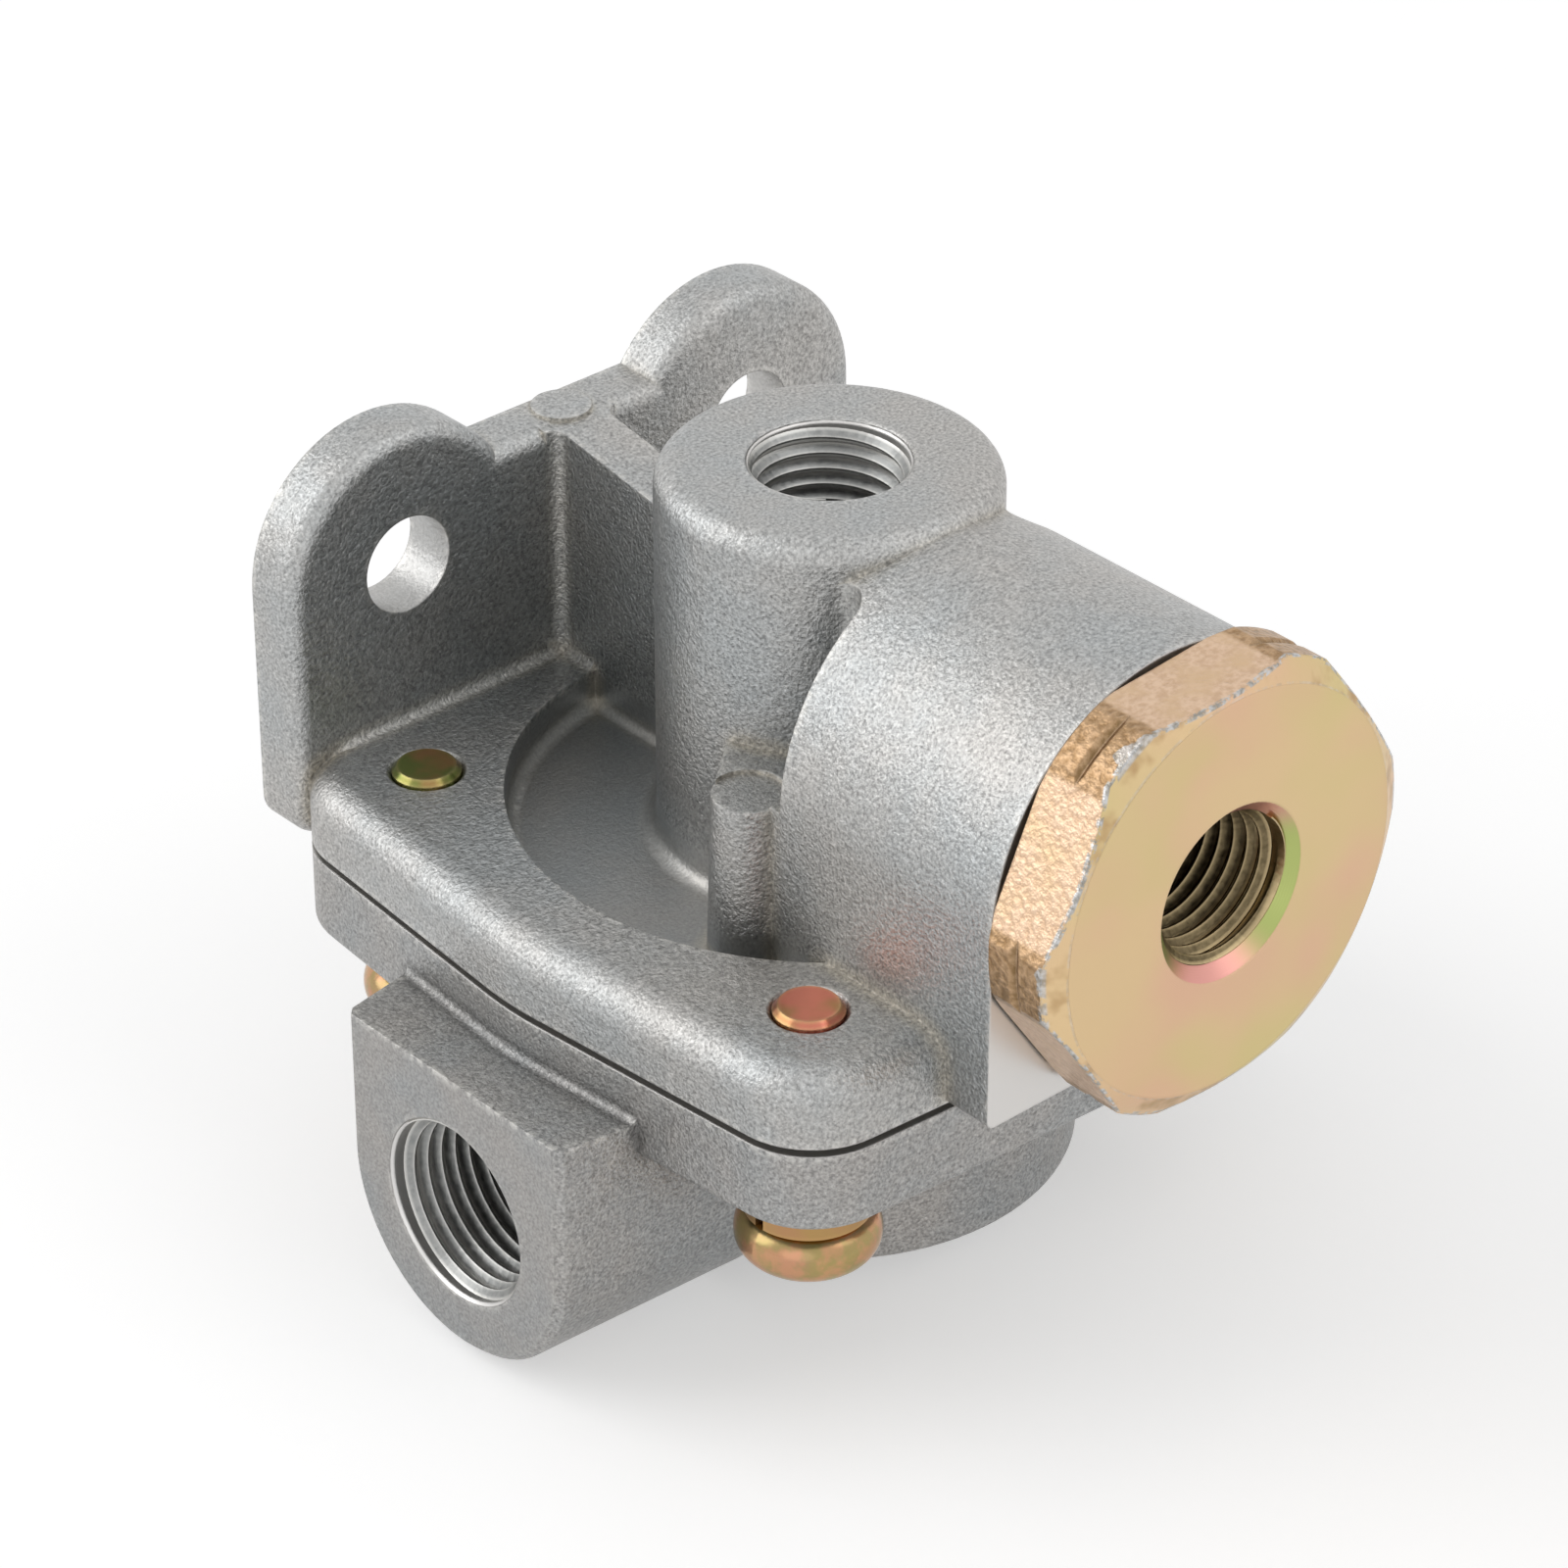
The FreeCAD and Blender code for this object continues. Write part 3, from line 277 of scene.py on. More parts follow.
def casting_finish(name, faced_mask, smooth_mask, metal_colour, hollow_stain_and_shade):
    """Blasted aluminium, with faced areas and smoother dark ones picked out by place; painted shade
    darkens sheltered places and painted glints lighten the skin.
    """
    finish, tree, shader = new_finish(name)
    place, x, y, z = part_place(tree)
    skin = use_effect(tree, blasted, Dents_per_Metre=3400.0)
    form = use_effect(tree, edges, Ridge_Width=0.8 * MM, Ridge_Depth=0.5,
                      Hollow_Width=1.6 * MM, Shelter_Width=22.0 * MM)
    faced = faced_mask(tree, x, y, z)
    smooth = smooth_mask(tree, x, y, z)
    unfaced = calculate(tree, "SUBTRACT", 1.0, faced)
    skin_share = times(tree, unfaced, blend_values(tree, smooth, 1.0, 0.35))

    colour = blend_colours(tree, step_up(tree, skin["Clouds"], 0.3, 0.7), CAST_COOL, CAST_WARM)
    colour = blend_colours(tree, 0.6, colour, metal_colour)
    # Painted shade: sheltered places darken toward a cool blue grey.
    painted_shade = times(tree, form["Shade"], 0.4)
    colour = blend_colours(tree, painted_shade, colour, PAINTED_SHADE_BLUE)
    # Hollows take the given colour: a tan stain on the body, painted shade on the cover.
    hollow = times(tree, form["Hollow"], blend_values(tree, skin["Grain"], 0.4, 0.9))
    colour = blend_colours(tree, hollow, colour, hollow_stain_and_shade)
    grain = calculate(tree, "MULTIPLY_ADD", skin["Grain"], 1.7, 0.16)
    grain = blend_values(tree, skin_share, 1.0, grain)
    colour = blend_colours(tree, 1.0, colour, grain, "MULTIPLY")
    # Painted glints: the facet spots of the blasted skin are lightened toward the bright colour.
    painted_glints = times(tree, skin["Facets"], skin_share, 0.3)
    colour = blend_colours(tree, painted_glints, colour, WORN_EDGE_AND_GLINT_BRIGHT)
    specks = step_up(tree, noise(tree, place, 700.0, 4.0, 0.75), 0.70, 0.76)
    colour = blend_colours(tree, times(tree, specks, 0.45), colour, SOIL)
    rubbing = step_up(tree, noise(tree, place, 1300.0, 3.0, 0.6), 0.42, 0.62)
    rubbed = times(tree, form["Ridge"], rubbing)
    colour = blend_colours(tree, times(tree, rubbed, 0.8), colour, WORN_EDGE_AND_GLINT_BRIGHT)
    milled = blend_colours(tree, skin["Clouds"], FACED_WHITE, FACED_COOL)
    milled = blend_colours(tree, times(tree, specks, 0.5), milled, SOIL)
    colour = blend_colours(tree, faced, colour, milled)
    plug(tree, colour, shader.inputs["Base Color"])

    roughness = blend_values(tree, skin["Facets"], 0.42, 0.32)
    roughness = blend_values(tree, rubbed, roughness, 0.34)
    roughness = blend_values(tree, form["Hollow"], roughness, 0.6)
    roughness = blend_values(tree, smooth, roughness, 0.44)
    roughness = blend_values(tree, faced, roughness, 0.36)
    plug(tree, roughness, shader.inputs["Roughness"])
    shader.inputs["Metallic"].default_value = 1.0

    soft_edge = rounded_edge(tree, 0.25 * MM)
    height = times(tree, skin["Height"], skin_share)
    dent(tree, shader, height, strength=0.8, depth=0.13 * MM, edge_normal=soft_edge)
    return finish


def body_faced(tree, x, y, z):
    """Faced or bored: barrel end, joint face, tapped balance port and bolt holes."""
    end_face = step_up(tree, y, BARREL_END_FACE + 0.08 * MM, BARREL_END_FACE + 0.02 * MM)
    joint_face = step_up(tree, z, JOINT_HEIGHT + 0.06 * MM, JOINT_HEIGHT + 0.01 * MM)
    past_plate = step_up(tree, y, CLEAR_OF_PLATE + 1.0 * MM, CLEAR_OF_PLATE)
    joint_face = times(tree, joint_face, past_plate)
    from_balance_axis = distance_from(tree, x, 0.0, y, VALVE_AXIS_Y)
    tapped = step_up(tree, from_balance_axis,
                     BALANCE_THREAD_RADIUS + 0.25 * MM, BALANCE_THREAD_RADIUS + 0.1 * MM)
    aside = calculate(tree, "ABSOLUTE", x)
    from_bolt_axis = distance_from(tree, aside, MOUNTING_HOLE_OFFSET, z, 0.0)
    drilled = step_up(tree, from_bolt_axis,
                      MOUNTING_HOLE_RADIUS + 0.05 * MM, MOUNTING_HOLE_RADIUS + 0.02 * MM)
    in_plate = step_up(tree, y, CLEAR_OF_PLATE - 1.0 * MM, CLEAR_OF_PLATE)
    drilled = times(tree, drilled, in_plate, 0.35)
    from_barrel_axis = distance_from(tree, x, 0.0, z, BARREL_AXIS_HEIGHT)
    nut_bore = times(tree, step_up(tree, y, NUT_BORE_START, NUT_BORE_START - 1.0 * MM),
                     step_up(tree, from_barrel_axis, NUT_BORE_RADIUS + 0.1 * MM, NUT_BORE_RADIUS))
    faced = end_face
    for area in (joint_face, tapped, drilled, nut_bore):
        faced = calculate(tree, "MAXIMUM", faced, area)
    return faced


def body_smooth(tree, x, y, z):
    """The recess in the flange, where the die was polished and the shot hardly reached."""
    low = step_up(tree, z, FLANGE_TOP - 0.2 * MM, FLANGE_TOP - 1.2 * MM)
    from_recess_axis = distance_from(tree, x, 0.0, y, VALVE_AXIS_Y)
    inside = step_up(tree, from_recess_axis, RECESS_RADIUS + 0.5 * MM, RECESS_RADIUS)
    above_floor = step_up(tree, z, JOINT_HEIGHT + 2.0 * MM, JOINT_HEIGHT + 2.5 * MM)
    return times(tree, low, inside, above_floor)


body_finish = casting_finish("blasted aluminium body", body_faced, body_smooth,
                             CAST_GREY, HOLLOW_TAN)
wear("valve_body", body_finish)


# Cut threads of the balance port
# The tapered pipe thread stands as one continuous ridge on the drilled wall.
# It is cut with a tap after blasting, so it is bright metal with duller streaks, and a highlight is
# painted along its crest edges.

THREAD_PITCH = 25.4 / 18 * MM
THREAD_STEPS = 56
HALF_ROOT = 0.46 * THREAD_PITCH
HALF_CREST = 0.06 * THREAD_PITCH
ROOT_SINK = 0.12 * MM
RUN_OUT_TURNS = 0.5
END_HEIGHT = 0.04
TAPER = 1 / 32
BALANCE_MOUTH_HEIGHT = JOINT_HEIGHT + 36.5 * MM


def close_rows(shape, rows):
    """Skins a row of rings into one closed body and caps its two ends."""
    for before, after in zip(rows, rows[1:]):
        for corner in range(len(before)):
            following = (corner + 1) % len(before)
            shape.faces.new((before[corner], before[following], after[following], after[corner]))
    shape.faces.new(rows[0])
    shape.faces.new(list(reversed(rows[-1])))
    bmesh.ops.recalc_face_normals(shape, faces=shape.faces)


def new_piece(name, shape, finish, body):
    """Turns a finished shape into a piece that moves with a body."""
    mesh = bpy.data.meshes.new(name)
    shape.to_mesh(mesh)
    shape.free()
    mesh.materials.append(finish)
    piece = bpy.data.objects.new(name, mesh)
    bpy.context.scene.collection.objects.link(piece)
    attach(piece, body)
    return piece


def cut_thread(name, mouth, inward, wall_radius, length, depth, finish, body):
    """A right-handed ridge on the wall of a tapped hole, with its ends run out."""
    inward = Vector(inward)
    side = inward.orthogonal().normalized()
    other = inward.cross(side)
    ridge = bmesh.new()
    rows = []
    count = int(length / THREAD_PITCH * THREAD_STEPS)
    for step in range(count + 1):
        turns = step / THREAD_STEPS
        travel = turns * THREAD_PITCH
        turns_left = (count - step) / THREAD_STEPS
        run_out = min(1.0, turns / RUN_OUT_TURNS, turns_left / RUN_OUT_TURNS)
        tall = depth * max(END_HEIGHT, run_out) + travel * TAPER
        out = side * math.cos(turns * 2 * math.pi) + other * math.sin(turns * 2 * math.pi)
        row = []
        for along, radius in ((-HALF_ROOT, wall_radius + ROOT_SINK), (-HALF_ROOT, wall_radius),
                              (-HALF_CREST, wall_radius - tall), (HALF_CREST, wall_radius - tall),
                              (HALF_ROOT, wall_radius), (HALF_ROOT, wall_radius + ROOT_SINK)):
            spot = Vector(mouth) + inward * (travel + along) + out * radius
            row.append(ridge.verts.new(spot))
        rows.append(row)
    close_rows(ridge, rows)
    return new_piece(name, ridge, finish, body)


def thread_finish(name, cut_metal_and_highlight, dull_streak, roughness):
    """Cut metal, brightest on the crest, where a highlight is painted, with duller torn streaks in
    it.
    """
    finish, tree, shader = new_finish(name)
    place = part_place(tree)[0]
    form = use_effect(tree, edges, Ridge_Width=0.35 * MM)
    streaks = noise(tree, place, 1500.0, 3.0, 0.6)
    shine = calculate(tree, "MULTIPLY_ADD", streaks, 0.7, -0.1)
    colour = blend_colours(tree, shine, dull_streak, cut_metal_and_highlight)
    # Painted highlight: the convex crest edges take the bright colour.
    colour = blend_colours(tree, form["Ridge"], colour, cut_metal_and_highlight)
    plug(tree, colour, shader.inputs["Base Color"])
    plug(tree, blend_values(tree, streaks, roughness, roughness + 0.25), shader.inputs["Roughness"])
    shader.inputs["Metallic"].default_value = 1.0
    dent(tree, shader, streaks, strength=0.5, depth=0.05 * MM)
    return finish


silver_thread = thread_finish("cut aluminium thread", cut_metal_and_highlight=paint(205, 204, 200),
                              dull_streak=paint(120, 122, 122), roughness=0.22)
cut_thread("balance_thread", mouth=(0.0, VALVE_AXIS_Y, BALANCE_MOUTH_HEIGHT), inward=(0, 0, -1),
           wall_radius=BALANCE_THREAD_RADIUS, length=12.0 * MM, depth=0.62 * MM,
           finish=silver_thread, body="housing")


# Cover
# The lower die casting, a little darker than the body and blasted like it. Its
# joint face and both delivery port faces are milled, and the ports are tapped.

DELIVERY_FACE = 41.1 * MM
DELIVERY_AXIS_HEIGHT = JOINT_HEIGHT - 17.8 * MM
DELIVERY_THREAD_RADIUS = 8.15 * MM
DELIVERY_MOUTH = 40.4 * MM
DELIVERY_PORT_START = 22.0 * MM
GASKET_THICKNESS = 0.7 * MM
COVER_GREY = paint(148, 148, 147)
# Painted shade that darkens the cover's concave fillets
CREASE_PAINTED_SHADE = paint(78, 77, 75)


def cover_faced(tree, x, y, z):
    """The tapped walls of the two delivery ports and the joint face."""
    from_port_axis = distance_from(tree, y, VALVE_AXIS_Y, z, DELIVERY_AXIS_HEIGHT)
    tapped = step_up(tree, from_port_axis,
                     DELIVERY_THREAD_RADIUS + 0.3 * MM, DELIVERY_THREAD_RADIUS + 0.2 * MM)
    aside = calculate(tree, "ABSOLUTE", x)
    in_port = step_up(tree, aside, DELIVERY_PORT_START, DELIVERY_PORT_START + 1.0 * MM)
    face_height = JOINT_HEIGHT - GASKET_THICKNESS
    joint_face = step_up(tree, z, face_height - 0.06 * MM, face_height - 0.02 * MM)
    return calculate(tree, "MAXIMUM", times(tree, tapped, in_port), joint_face)


def cover_smooth(tree, x, y, z):
    """The faces of the delivery ports, milled and then lightly blasted."""
    aside = calculate(tree, "ABSOLUTE", x)
    port_face = step_up(tree, aside, DELIVERY_FACE - 0.1 * MM, DELIVERY_FACE - 0.03 * MM)
    return times(tree, port_face, 0.6)


cover_finish = casting_finish("blasted aluminium cover", cover_faced, cover_smooth,
                              COVER_GREY, CREASE_PAINTED_SHADE)
wear("cover", cover_finish)

for side_name, side in (("left", -1), ("right", 1)):
    cut_thread(f"delivery_thread_{side_name}",
               mouth=(side * DELIVERY_MOUTH, VALVE_AXIS_Y, DELIVERY_AXIS_HEIGHT),
               inward=(-side, 0, 0), wall_radius=DELIVERY_THREAD_RADIUS,
               length=12.1 * MM, depth=0.68 * MM,
               finish=silver_thread, body="housing")


# Cover gasket
# A punched sheet of dark grey fibre between the two castings. Only its edge
# shows, as a thin dark line round the flange.

gasket_finish, tree, shader = new_finish("gasket fibre")
place = part_place(tree)[0]
fibres = noise(tree, place, 4200.0, 4.0, 0.7)
colour = blend_colours(tree, fibres, paint(46, 45, 43), paint(92, 89, 84))
plug(tree, colour, shader.inputs["Base Color"])
plug(tree, blend_values(tree, fibres, 0.7, 0.92), shader.inputs["Roughness"])
dent(tree, shader, fibres, strength=0.6, depth=0.06 * MM)
wear("cover_gasket", gasket_finish)


# Supply cap nut
# A hexagon nut of forged and turned steel, zinc plated and yellow passivated.
# Its front face, corners and port chamfer are turned, and its flats are as forged.

NUT_FRONT_FACE = VALVE_AXIS_Y - 46.25 * MM
NUT_FACE_RADIUS = 17.5 * MM
NUT_CORNER_RADIUS = 19.5 * MM
NUT_CHAMFER_SLOPE = 0.575
NUT_HALF_WIDTH = 18.0 * MM
NUT_SIDE_START = 17.0 * MM
NUT_FLAT_BEARINGS = (34.5, 94.5, 154.5)
SUPPLY_THREAD_RADIUS = 6.6 * MM
SUPPLY_CHAMFER_RADIUS = 7.73 * MM
SUPPLY_MOUTH = NUT_FRONT_FACE + 1.2 * MM
PASSIVE_GOLD = paint(220, 192, 149)
PASSIVE_PINK = paint(222, 180, 153)
PASSIVE_GREEN = paint(212, 195, 140)
ZINC_SILVER = paint(206, 206, 206)

# Thin colours of the passivated zinc, drifting from gold to pink and green
FILM_SHIFT = (0.31, 0.17, 0.53)
passivated, given, result = effect_group(
    "yellow passivation",
    {"Clouds per Metre": 90.0, "Strength": 0.6},
    {"Tint": "NodeSocketColor", "Film": "NodeSocketFloat"},
)
place = part_place(passivated)[0]
film = noise(passivated, place, given["Clouds per Metre"], 2.0, 0.5)
second_place = add_node(passivated, "ShaderNodeVectorMath", {0: place, 1: FILM_SHIFT},
                        operation="ADD").outputs[0]
other_film = noise(passivated, second_place, given["Clouds per Metre"], 2.0, 0.5)
tint = blend_colours(passivated, step_up(passivated, film, 0.42, 0.7), PASSIVE_GOLD, PASSIVE_PINK)
tint = blend_colours(passivated, step_up(passivated, other_film, 0.45, 0.7), tint, PASSIVE_GREEN)
tint = blend_colours(passivated, given["Strength"], PASSIVE_GOLD, tint)
plug(passivated, tint, result["Tint"])
plug(passivated, film, result["Film"])

nut_finish, tree, shader = new_finish("passivated cap nut")
place, x, y, z = part_place(tree)
radius = distance_from(tree, x, 0.0, z, BARREL_AXIS_HEIGHT)
plating = use_effect(tree, passivated, Clouds_per_Metre=60.0, Strength=0.9)
form = use_effect(tree, edges, Ridge_Width=0.55 * MM, Ridge_Depth=0.16, Hollow_Width=0.8 * MM)
front = step_up(tree, y, NUT_FRONT_FACE + 0.06 * MM, NUT_FRONT_FACE + 0.02 * MM)
behind_face = calculate(tree, "SUBTRACT", 1.0, front)
outside = step_up(tree, radius, NUT_SIDE_START - 0.2 * MM, NUT_SIDE_START + 0.2 * MM)
side_only = times(tree, outside, behind_face)
face_depth = calculate(tree, "SUBTRACT", y, NUT_FRONT_FACE)
past_face = calculate(tree, "SUBTRACT", radius, NUT_FACE_RADIUS)
cone_depth = calculate(tree, "MULTIPLY_ADD", past_face, -NUT_CHAMFER_SLOPE, face_depth)
turned_edge = times(tree, side_only, step_up(tree, cone_depth, 0.06 * MM, 0.03 * MM))
corner = step_up(tree, radius, NUT_CORNER_RADIUS - 0.5 * MM, NUT_CORNER_RADIUS - 0.3 * MM)
bore = step_up(tree, radius, SUPPLY_THREAD_RADIUS + 0.04 * MM, SUPPLY_THREAD_RADIUS + 0.01 * MM)
port_edge = step_up(tree, radius,
                    SUPPLY_CHAMFER_RADIUS + 0.03 * MM, SUPPLY_CHAMFER_RADIUS - 0.03 * MM)
height_over_axis = calculate(tree, "SUBTRACT", z, BARREL_AXIS_HEIGHT)
flat_distance = 0.0
for bearing in NUT_FLAT_BEARINGS:
    across = times(tree, height_over_axis, math.sin(math.radians(bearing)))
    across = calculate(tree, "MULTIPLY_ADD", x, math.cos(math.radians(bearing)), across)
    flat_distance = calculate(tree, "MAXIMUM", calculate(tree, "ABSOLUTE", across), flat_distance)

forged = noise(tree, place, 1700.0, 2.0, 0.55)
blotches = noise(tree, place, 260.0, 3.0, 0.5)
flakes = step_up(tree, noise(tree, place, 1000.0, 4.0, 0.7), 0.42, 0.54)
flat_colour = blend_colours(tree, step_up(tree, forged, 0.3, 0.7),
                            paint(200, 169, 140), paint(220, 191, 164))
flat_colour = blend_colours(tree, step_up(tree, blotches, 0.45, 0.7),
                            flat_colour, paint(208, 178, 144))
corner_colour = blend_colours(tree, step_up(tree, forged, 0.25, 0.75),
                              paint(146, 117, 84), paint(192, 160, 126))
corner_colour = blend_colours(tree, times(tree, form["Hollow"], 0.8),
                              corner_colour, paint(84, 66, 30))
colour = blend_colours(tree, corner, flat_colour, corner_colour)
edge_band = blend_colours(tree, step_up(tree, blotches, 0.5, 0.66),
                          plating["Tint"], paint(186, 154, 112))
colour = blend_colours(tree, turned_edge, colour, edge_band)
colour = blend_colours(tree, outside, plating["Tint"], colour)
colour = blend_colours(tree, front, colour, plating["Tint"])
bearing_round = calculate(tree, "ARCTAN2", x, height_over_axis)
rainbow = calculate(tree, "SINE", calculate(tree, "MULTIPLY_ADD", bearing_round, 2.0, -2.1))
edge_colour = blend_colours(tree, step_up(tree, rainbow, -0.9, 0.5),
                            paint(222, 160, 150), paint(172, 182, 112))
colour = blend_colours(tree, times(tree, port_edge, behind_face), colour, edge_colour)
colour = blend_colours(tree, bore, colour, paint(84, 70, 46))

# Bare zinc where the plating is rubbed off: the edge of the turned chamfer,
# thinner round the front face, and a patch at one end of a corner
at_flat = step_up(tree, flat_distance, NUT_HALF_WIDTH - 0.28 * MM, NUT_HALF_WIDTH - 0.16 * MM)
at_corner = step_up(tree, radius, NUT_CORNER_RADIUS - 0.2 * MM, NUT_CORNER_RADIUS - 0.12 * MM)
hexagon_edge = calculate(tree, "MAXIMUM", at_flat, at_corner)
side_edge = calculate(tree, "MULTIPLY_ADD", blotches, -0.9 * MM, cone_depth)
side_edge = step_up(tree, side_edge, 0.0, -0.14 * MM)
worn_line = times(tree, side_only, side_edge, hexagon_edge)
face_rim = times(tree, turned_edge, step_up(tree, face_depth, 0.16 * MM, 0.1 * MM), 0.3)
rubbed_length = calculate(tree, "MULTIPLY_ADD", blotches, 9.0 * MM, -4.5 * MM)
past_rubbed = calculate(tree, "SUBTRACT", cone_depth, rubbed_length)
rubbed_end = times(tree, corner, side_only, step_up(tree, past_rubbed, 0.1 * MM, -0.1 * MM))
worn = times(tree, calculate(tree, "MAXIMUM", worn_line, face_rim), flakes)
worn = calculate(tree, "MAXIMUM", worn, times(tree, rubbed_end, 0.8))
zinc = blend_colours(tree, step_up(tree, forged, 0.3, 0.7), paint(150, 146, 138), ZINC_SILVER)
colour = blend_colours(tree, worn, colour, zinc)
plug(tree, colour, shader.inputs["Base Color"])

rough = blend_values(tree, outside, 0.34, 0.36)
rough = blend_values(tree, front, rough, 0.42)
rough = blend_values(tree, worn, rough, 0.3)
film_change = calculate(tree, "SUBTRACT", plating["Film"], 0.5)
rough = calculate(tree, "MULTIPLY_ADD", film_change, 0.1, rough)
plug(tree, rough, shader.inputs["Roughness"])
shader.inputs["Metallic"].default_value = 1.0
soft_edge = rounded_edge(tree, 0.3 * MM)
rings = use_effect(tree, turned, Distance_from_Axis=radius, Feed=0.15 * MM)["Height"]
hammered = times(tree, side_only, blend_values(tree, turned_edge, 1.0, 0.35))
height = blend_values(tree, hammered, times(tree, rings, 0.02), forged)
dent(tree, shader, height, strength=0.8, depth=0.16 * MM, edge_normal=soft_edge)
wear("supply_cap_nut", nut_finish)

bronze_thread = thread_finish("plated thread", cut_metal_and_highlight=paint(186, 166, 128),
                              dull_streak=paint(62, 53, 35), roughness=0.2)
cut_thread("supply_thread", mouth=(0.0, SUPPLY_MOUTH, BARREL_AXIS_HEIGHT), inward=(0, 1, 0),
           wall_radius=SUPPLY_THREAD_RADIUS, length=10.6 * MM, depth=0.62 * MM,
           finish=bronze_thread, body="housing")


# Cover screws
# Four pan head screws with a cross recess, cold formed in steel, zinc plated
# and yellow passivated. Their tips show in the flange, their heads below.

SCREW_COUNT = 4

screw_finish, tree, shader = new_finish("passivated screw")
place, x, y, z = part_place(tree)
plating = use_effect(tree, passivated, Clouds_per_Metre=260.0, Strength=1.0)
form = use_effect(tree, edges, Ridge_Width=0.4 * MM, Hollow_Width=0.8 * MM)
tip = step_up(tree, z, JOINT_HEIGHT + 5.0 * MM, JOINT_HEIGHT + 5.5 * MM)
front_pair = step_up(tree, y, VALVE_AXIS_Y + 1.0 * MM, VALVE_AXIS_Y - 1.0 * MM)
tip_colour = blend_colours(tree, front_pair, paint(122, 132, 70), paint(200, 122, 102))
tip_colour = blend_colours(tree, step_up(tree, plating["Film"], 0.45, 0.72),
                           tip_colour, paint(166, 126, 84))
patches = step_up(tree, noise(tree, place, 420.0, 3.0, 0.6), 0.42, 0.6)
head_patches = blend_colours(tree, patches, paint(132, 118, 62), paint(178, 122, 88))
head_colour = blend_colours(tree, 0.7, plating["Tint"], head_patches)
colour = blend_colours(tree, tip, head_colour, tip_colour)
colour = blend_colours(tree, form["Ridge"], colour, paint(214, 196, 142))
colour = blend_colours(tree, times(tree, form["Hollow"], 0.7), colour, paint(84, 60, 34))
plug(tree, colour, shader.inputs["Base Color"])
grit = noise(tree, place, 2600.0, 3.0, 0.6)
plug(tree, blend_values(tree, grit, 0.14, 0.30), shader.inputs["Roughness"])
shader.inputs["Metallic"].default_value = 1.0
soft_edge = rounded_edge(tree, 0.15 * MM)
dent(tree, shader, grit, strength=0.25, depth=0.04 * MM, edge_normal=soft_edge)
for number in range(1, SCREW_COUNT + 1):
    wear(f"cover_screw_{number}", screw_finish)


# Lock washers
# Split spring washers under the screw heads, coiled from flat steel wire,
# plated like the screws but duller.

washer_finish, tree, shader = new_finish("passivated washer")
place = part_place(tree)[0]
plating = use_effect(tree, passivated, Clouds_per_Metre=300.0, Strength=0.9)
form = use_effect(tree, edges, Ridge_Width=0.4 * MM, Hollow_Width=0.8 * MM)
colour = blend_colours(tree, 0.75, plating["Tint"], paint(158, 116, 66))
colour = blend_colours(tree, form["Ridge"], colour, paint(190, 152, 100))
plug(tree, colour, shader.inputs["Base Color"])
scratches = noise(tree, place, 3000.0, 4.0, 0.7)
plug(tree, blend_values(tree, scratches, 0.25, 0.45), shader.inputs["Roughness"])
shader.inputs["Metallic"].default_value = 1.0
dent(tree, shader, scratches, strength=0.3, depth=0.04 * MM)
for number in range(1, SCREW_COUNT + 1):
    wear(f"lock_washer_{number}", washer_finish)


# Rubber pieces
# Seal ring, ring diaphragm, double check disc, release diaphragm and exhaust
# flap, all moulded in black nitrile rubber with a faint bloom.

rubber_finish, tree, shader = new_finish("black rubber")
place = part_place(tree)[0]
bloom = noise(tree, place, 160.0, 4.0, 0.6)
grain = noise(tree, place, 3800.0, 3.0, 0.6)
colour = blend_colours(tree, step_up(tree, bloom, 0.4, 0.75), paint(24, 24, 25), paint(62, 62, 62))
plug(tree, colour, shader.inputs["Base Color"])
plug(tree, blend_values(tree, bloom, 0.45, 0.75), shader.inputs["Roughness"])
dent(tree, shader, grain, strength=0.35, depth=0.05 * MM)
for node_name in ("cap_nut_seal", "ring_diaphragm", "double_check_diaphragm",
                  "release_diaphragm", "exhaust_flap"):
    wear(node_name, rubber_finish)


# Spring seat
# A small plate with a hub on the release diaphragm, moulded in white nylon.

nylon_finish, tree, shader = new_finish("white nylon")
place = part_place(tree)[0]
flow = noise(tree, place, 240.0, 3.0, 0.5)
colour = blend_colours(tree, flow, paint(214, 209, 196), paint(232, 229, 220))
plug(tree, colour, shader.inputs["Base Color"])
plug(tree, blend_values(tree, flow, 0.35, 0.5), shader.inputs["Roughness"])
shader.inputs["Subsurface Weight"].default_value = 0.1
shader.inputs["Subsurface Radius"].default_value = (1.0 * MM, 1.0 * MM, 1.0 * MM)
dent(tree, shader, flow, strength=0.2, depth=0.04 * MM)
wear("spring_seat", nylon_finish)


# Release spring
# A light compression spring wound from bright drawn spring wire. It stands on
# the spring seat and reaches up against the body.

SPRING_RADIUS = 4.6 * MM
WIRE_RADIUS = 0.55 * MM
SPRING_TURNS = 4.5
SPRING_STEPS = 40
WIRE_SIDES = 14

wire_finish, tree, shader = new_finish("drawn spring wire")
place = part_place(tree)[0]
drawn = noise(tree, place, 2400.0, 4.0, 0.7)
colour = blend_colours(tree, drawn, paint(120, 120, 122), paint(206, 206, 206))
plug(tree, colour, shader.inputs["Base Color"])
plug(tree, blend_values(tree, drawn, 0.18, 0.38), shader.inputs["Roughness"])
shader.inputs["Metallic"].default_value = 1.0
dent(tree, shader, drawn, strength=0.25, depth=0.03 * MM)

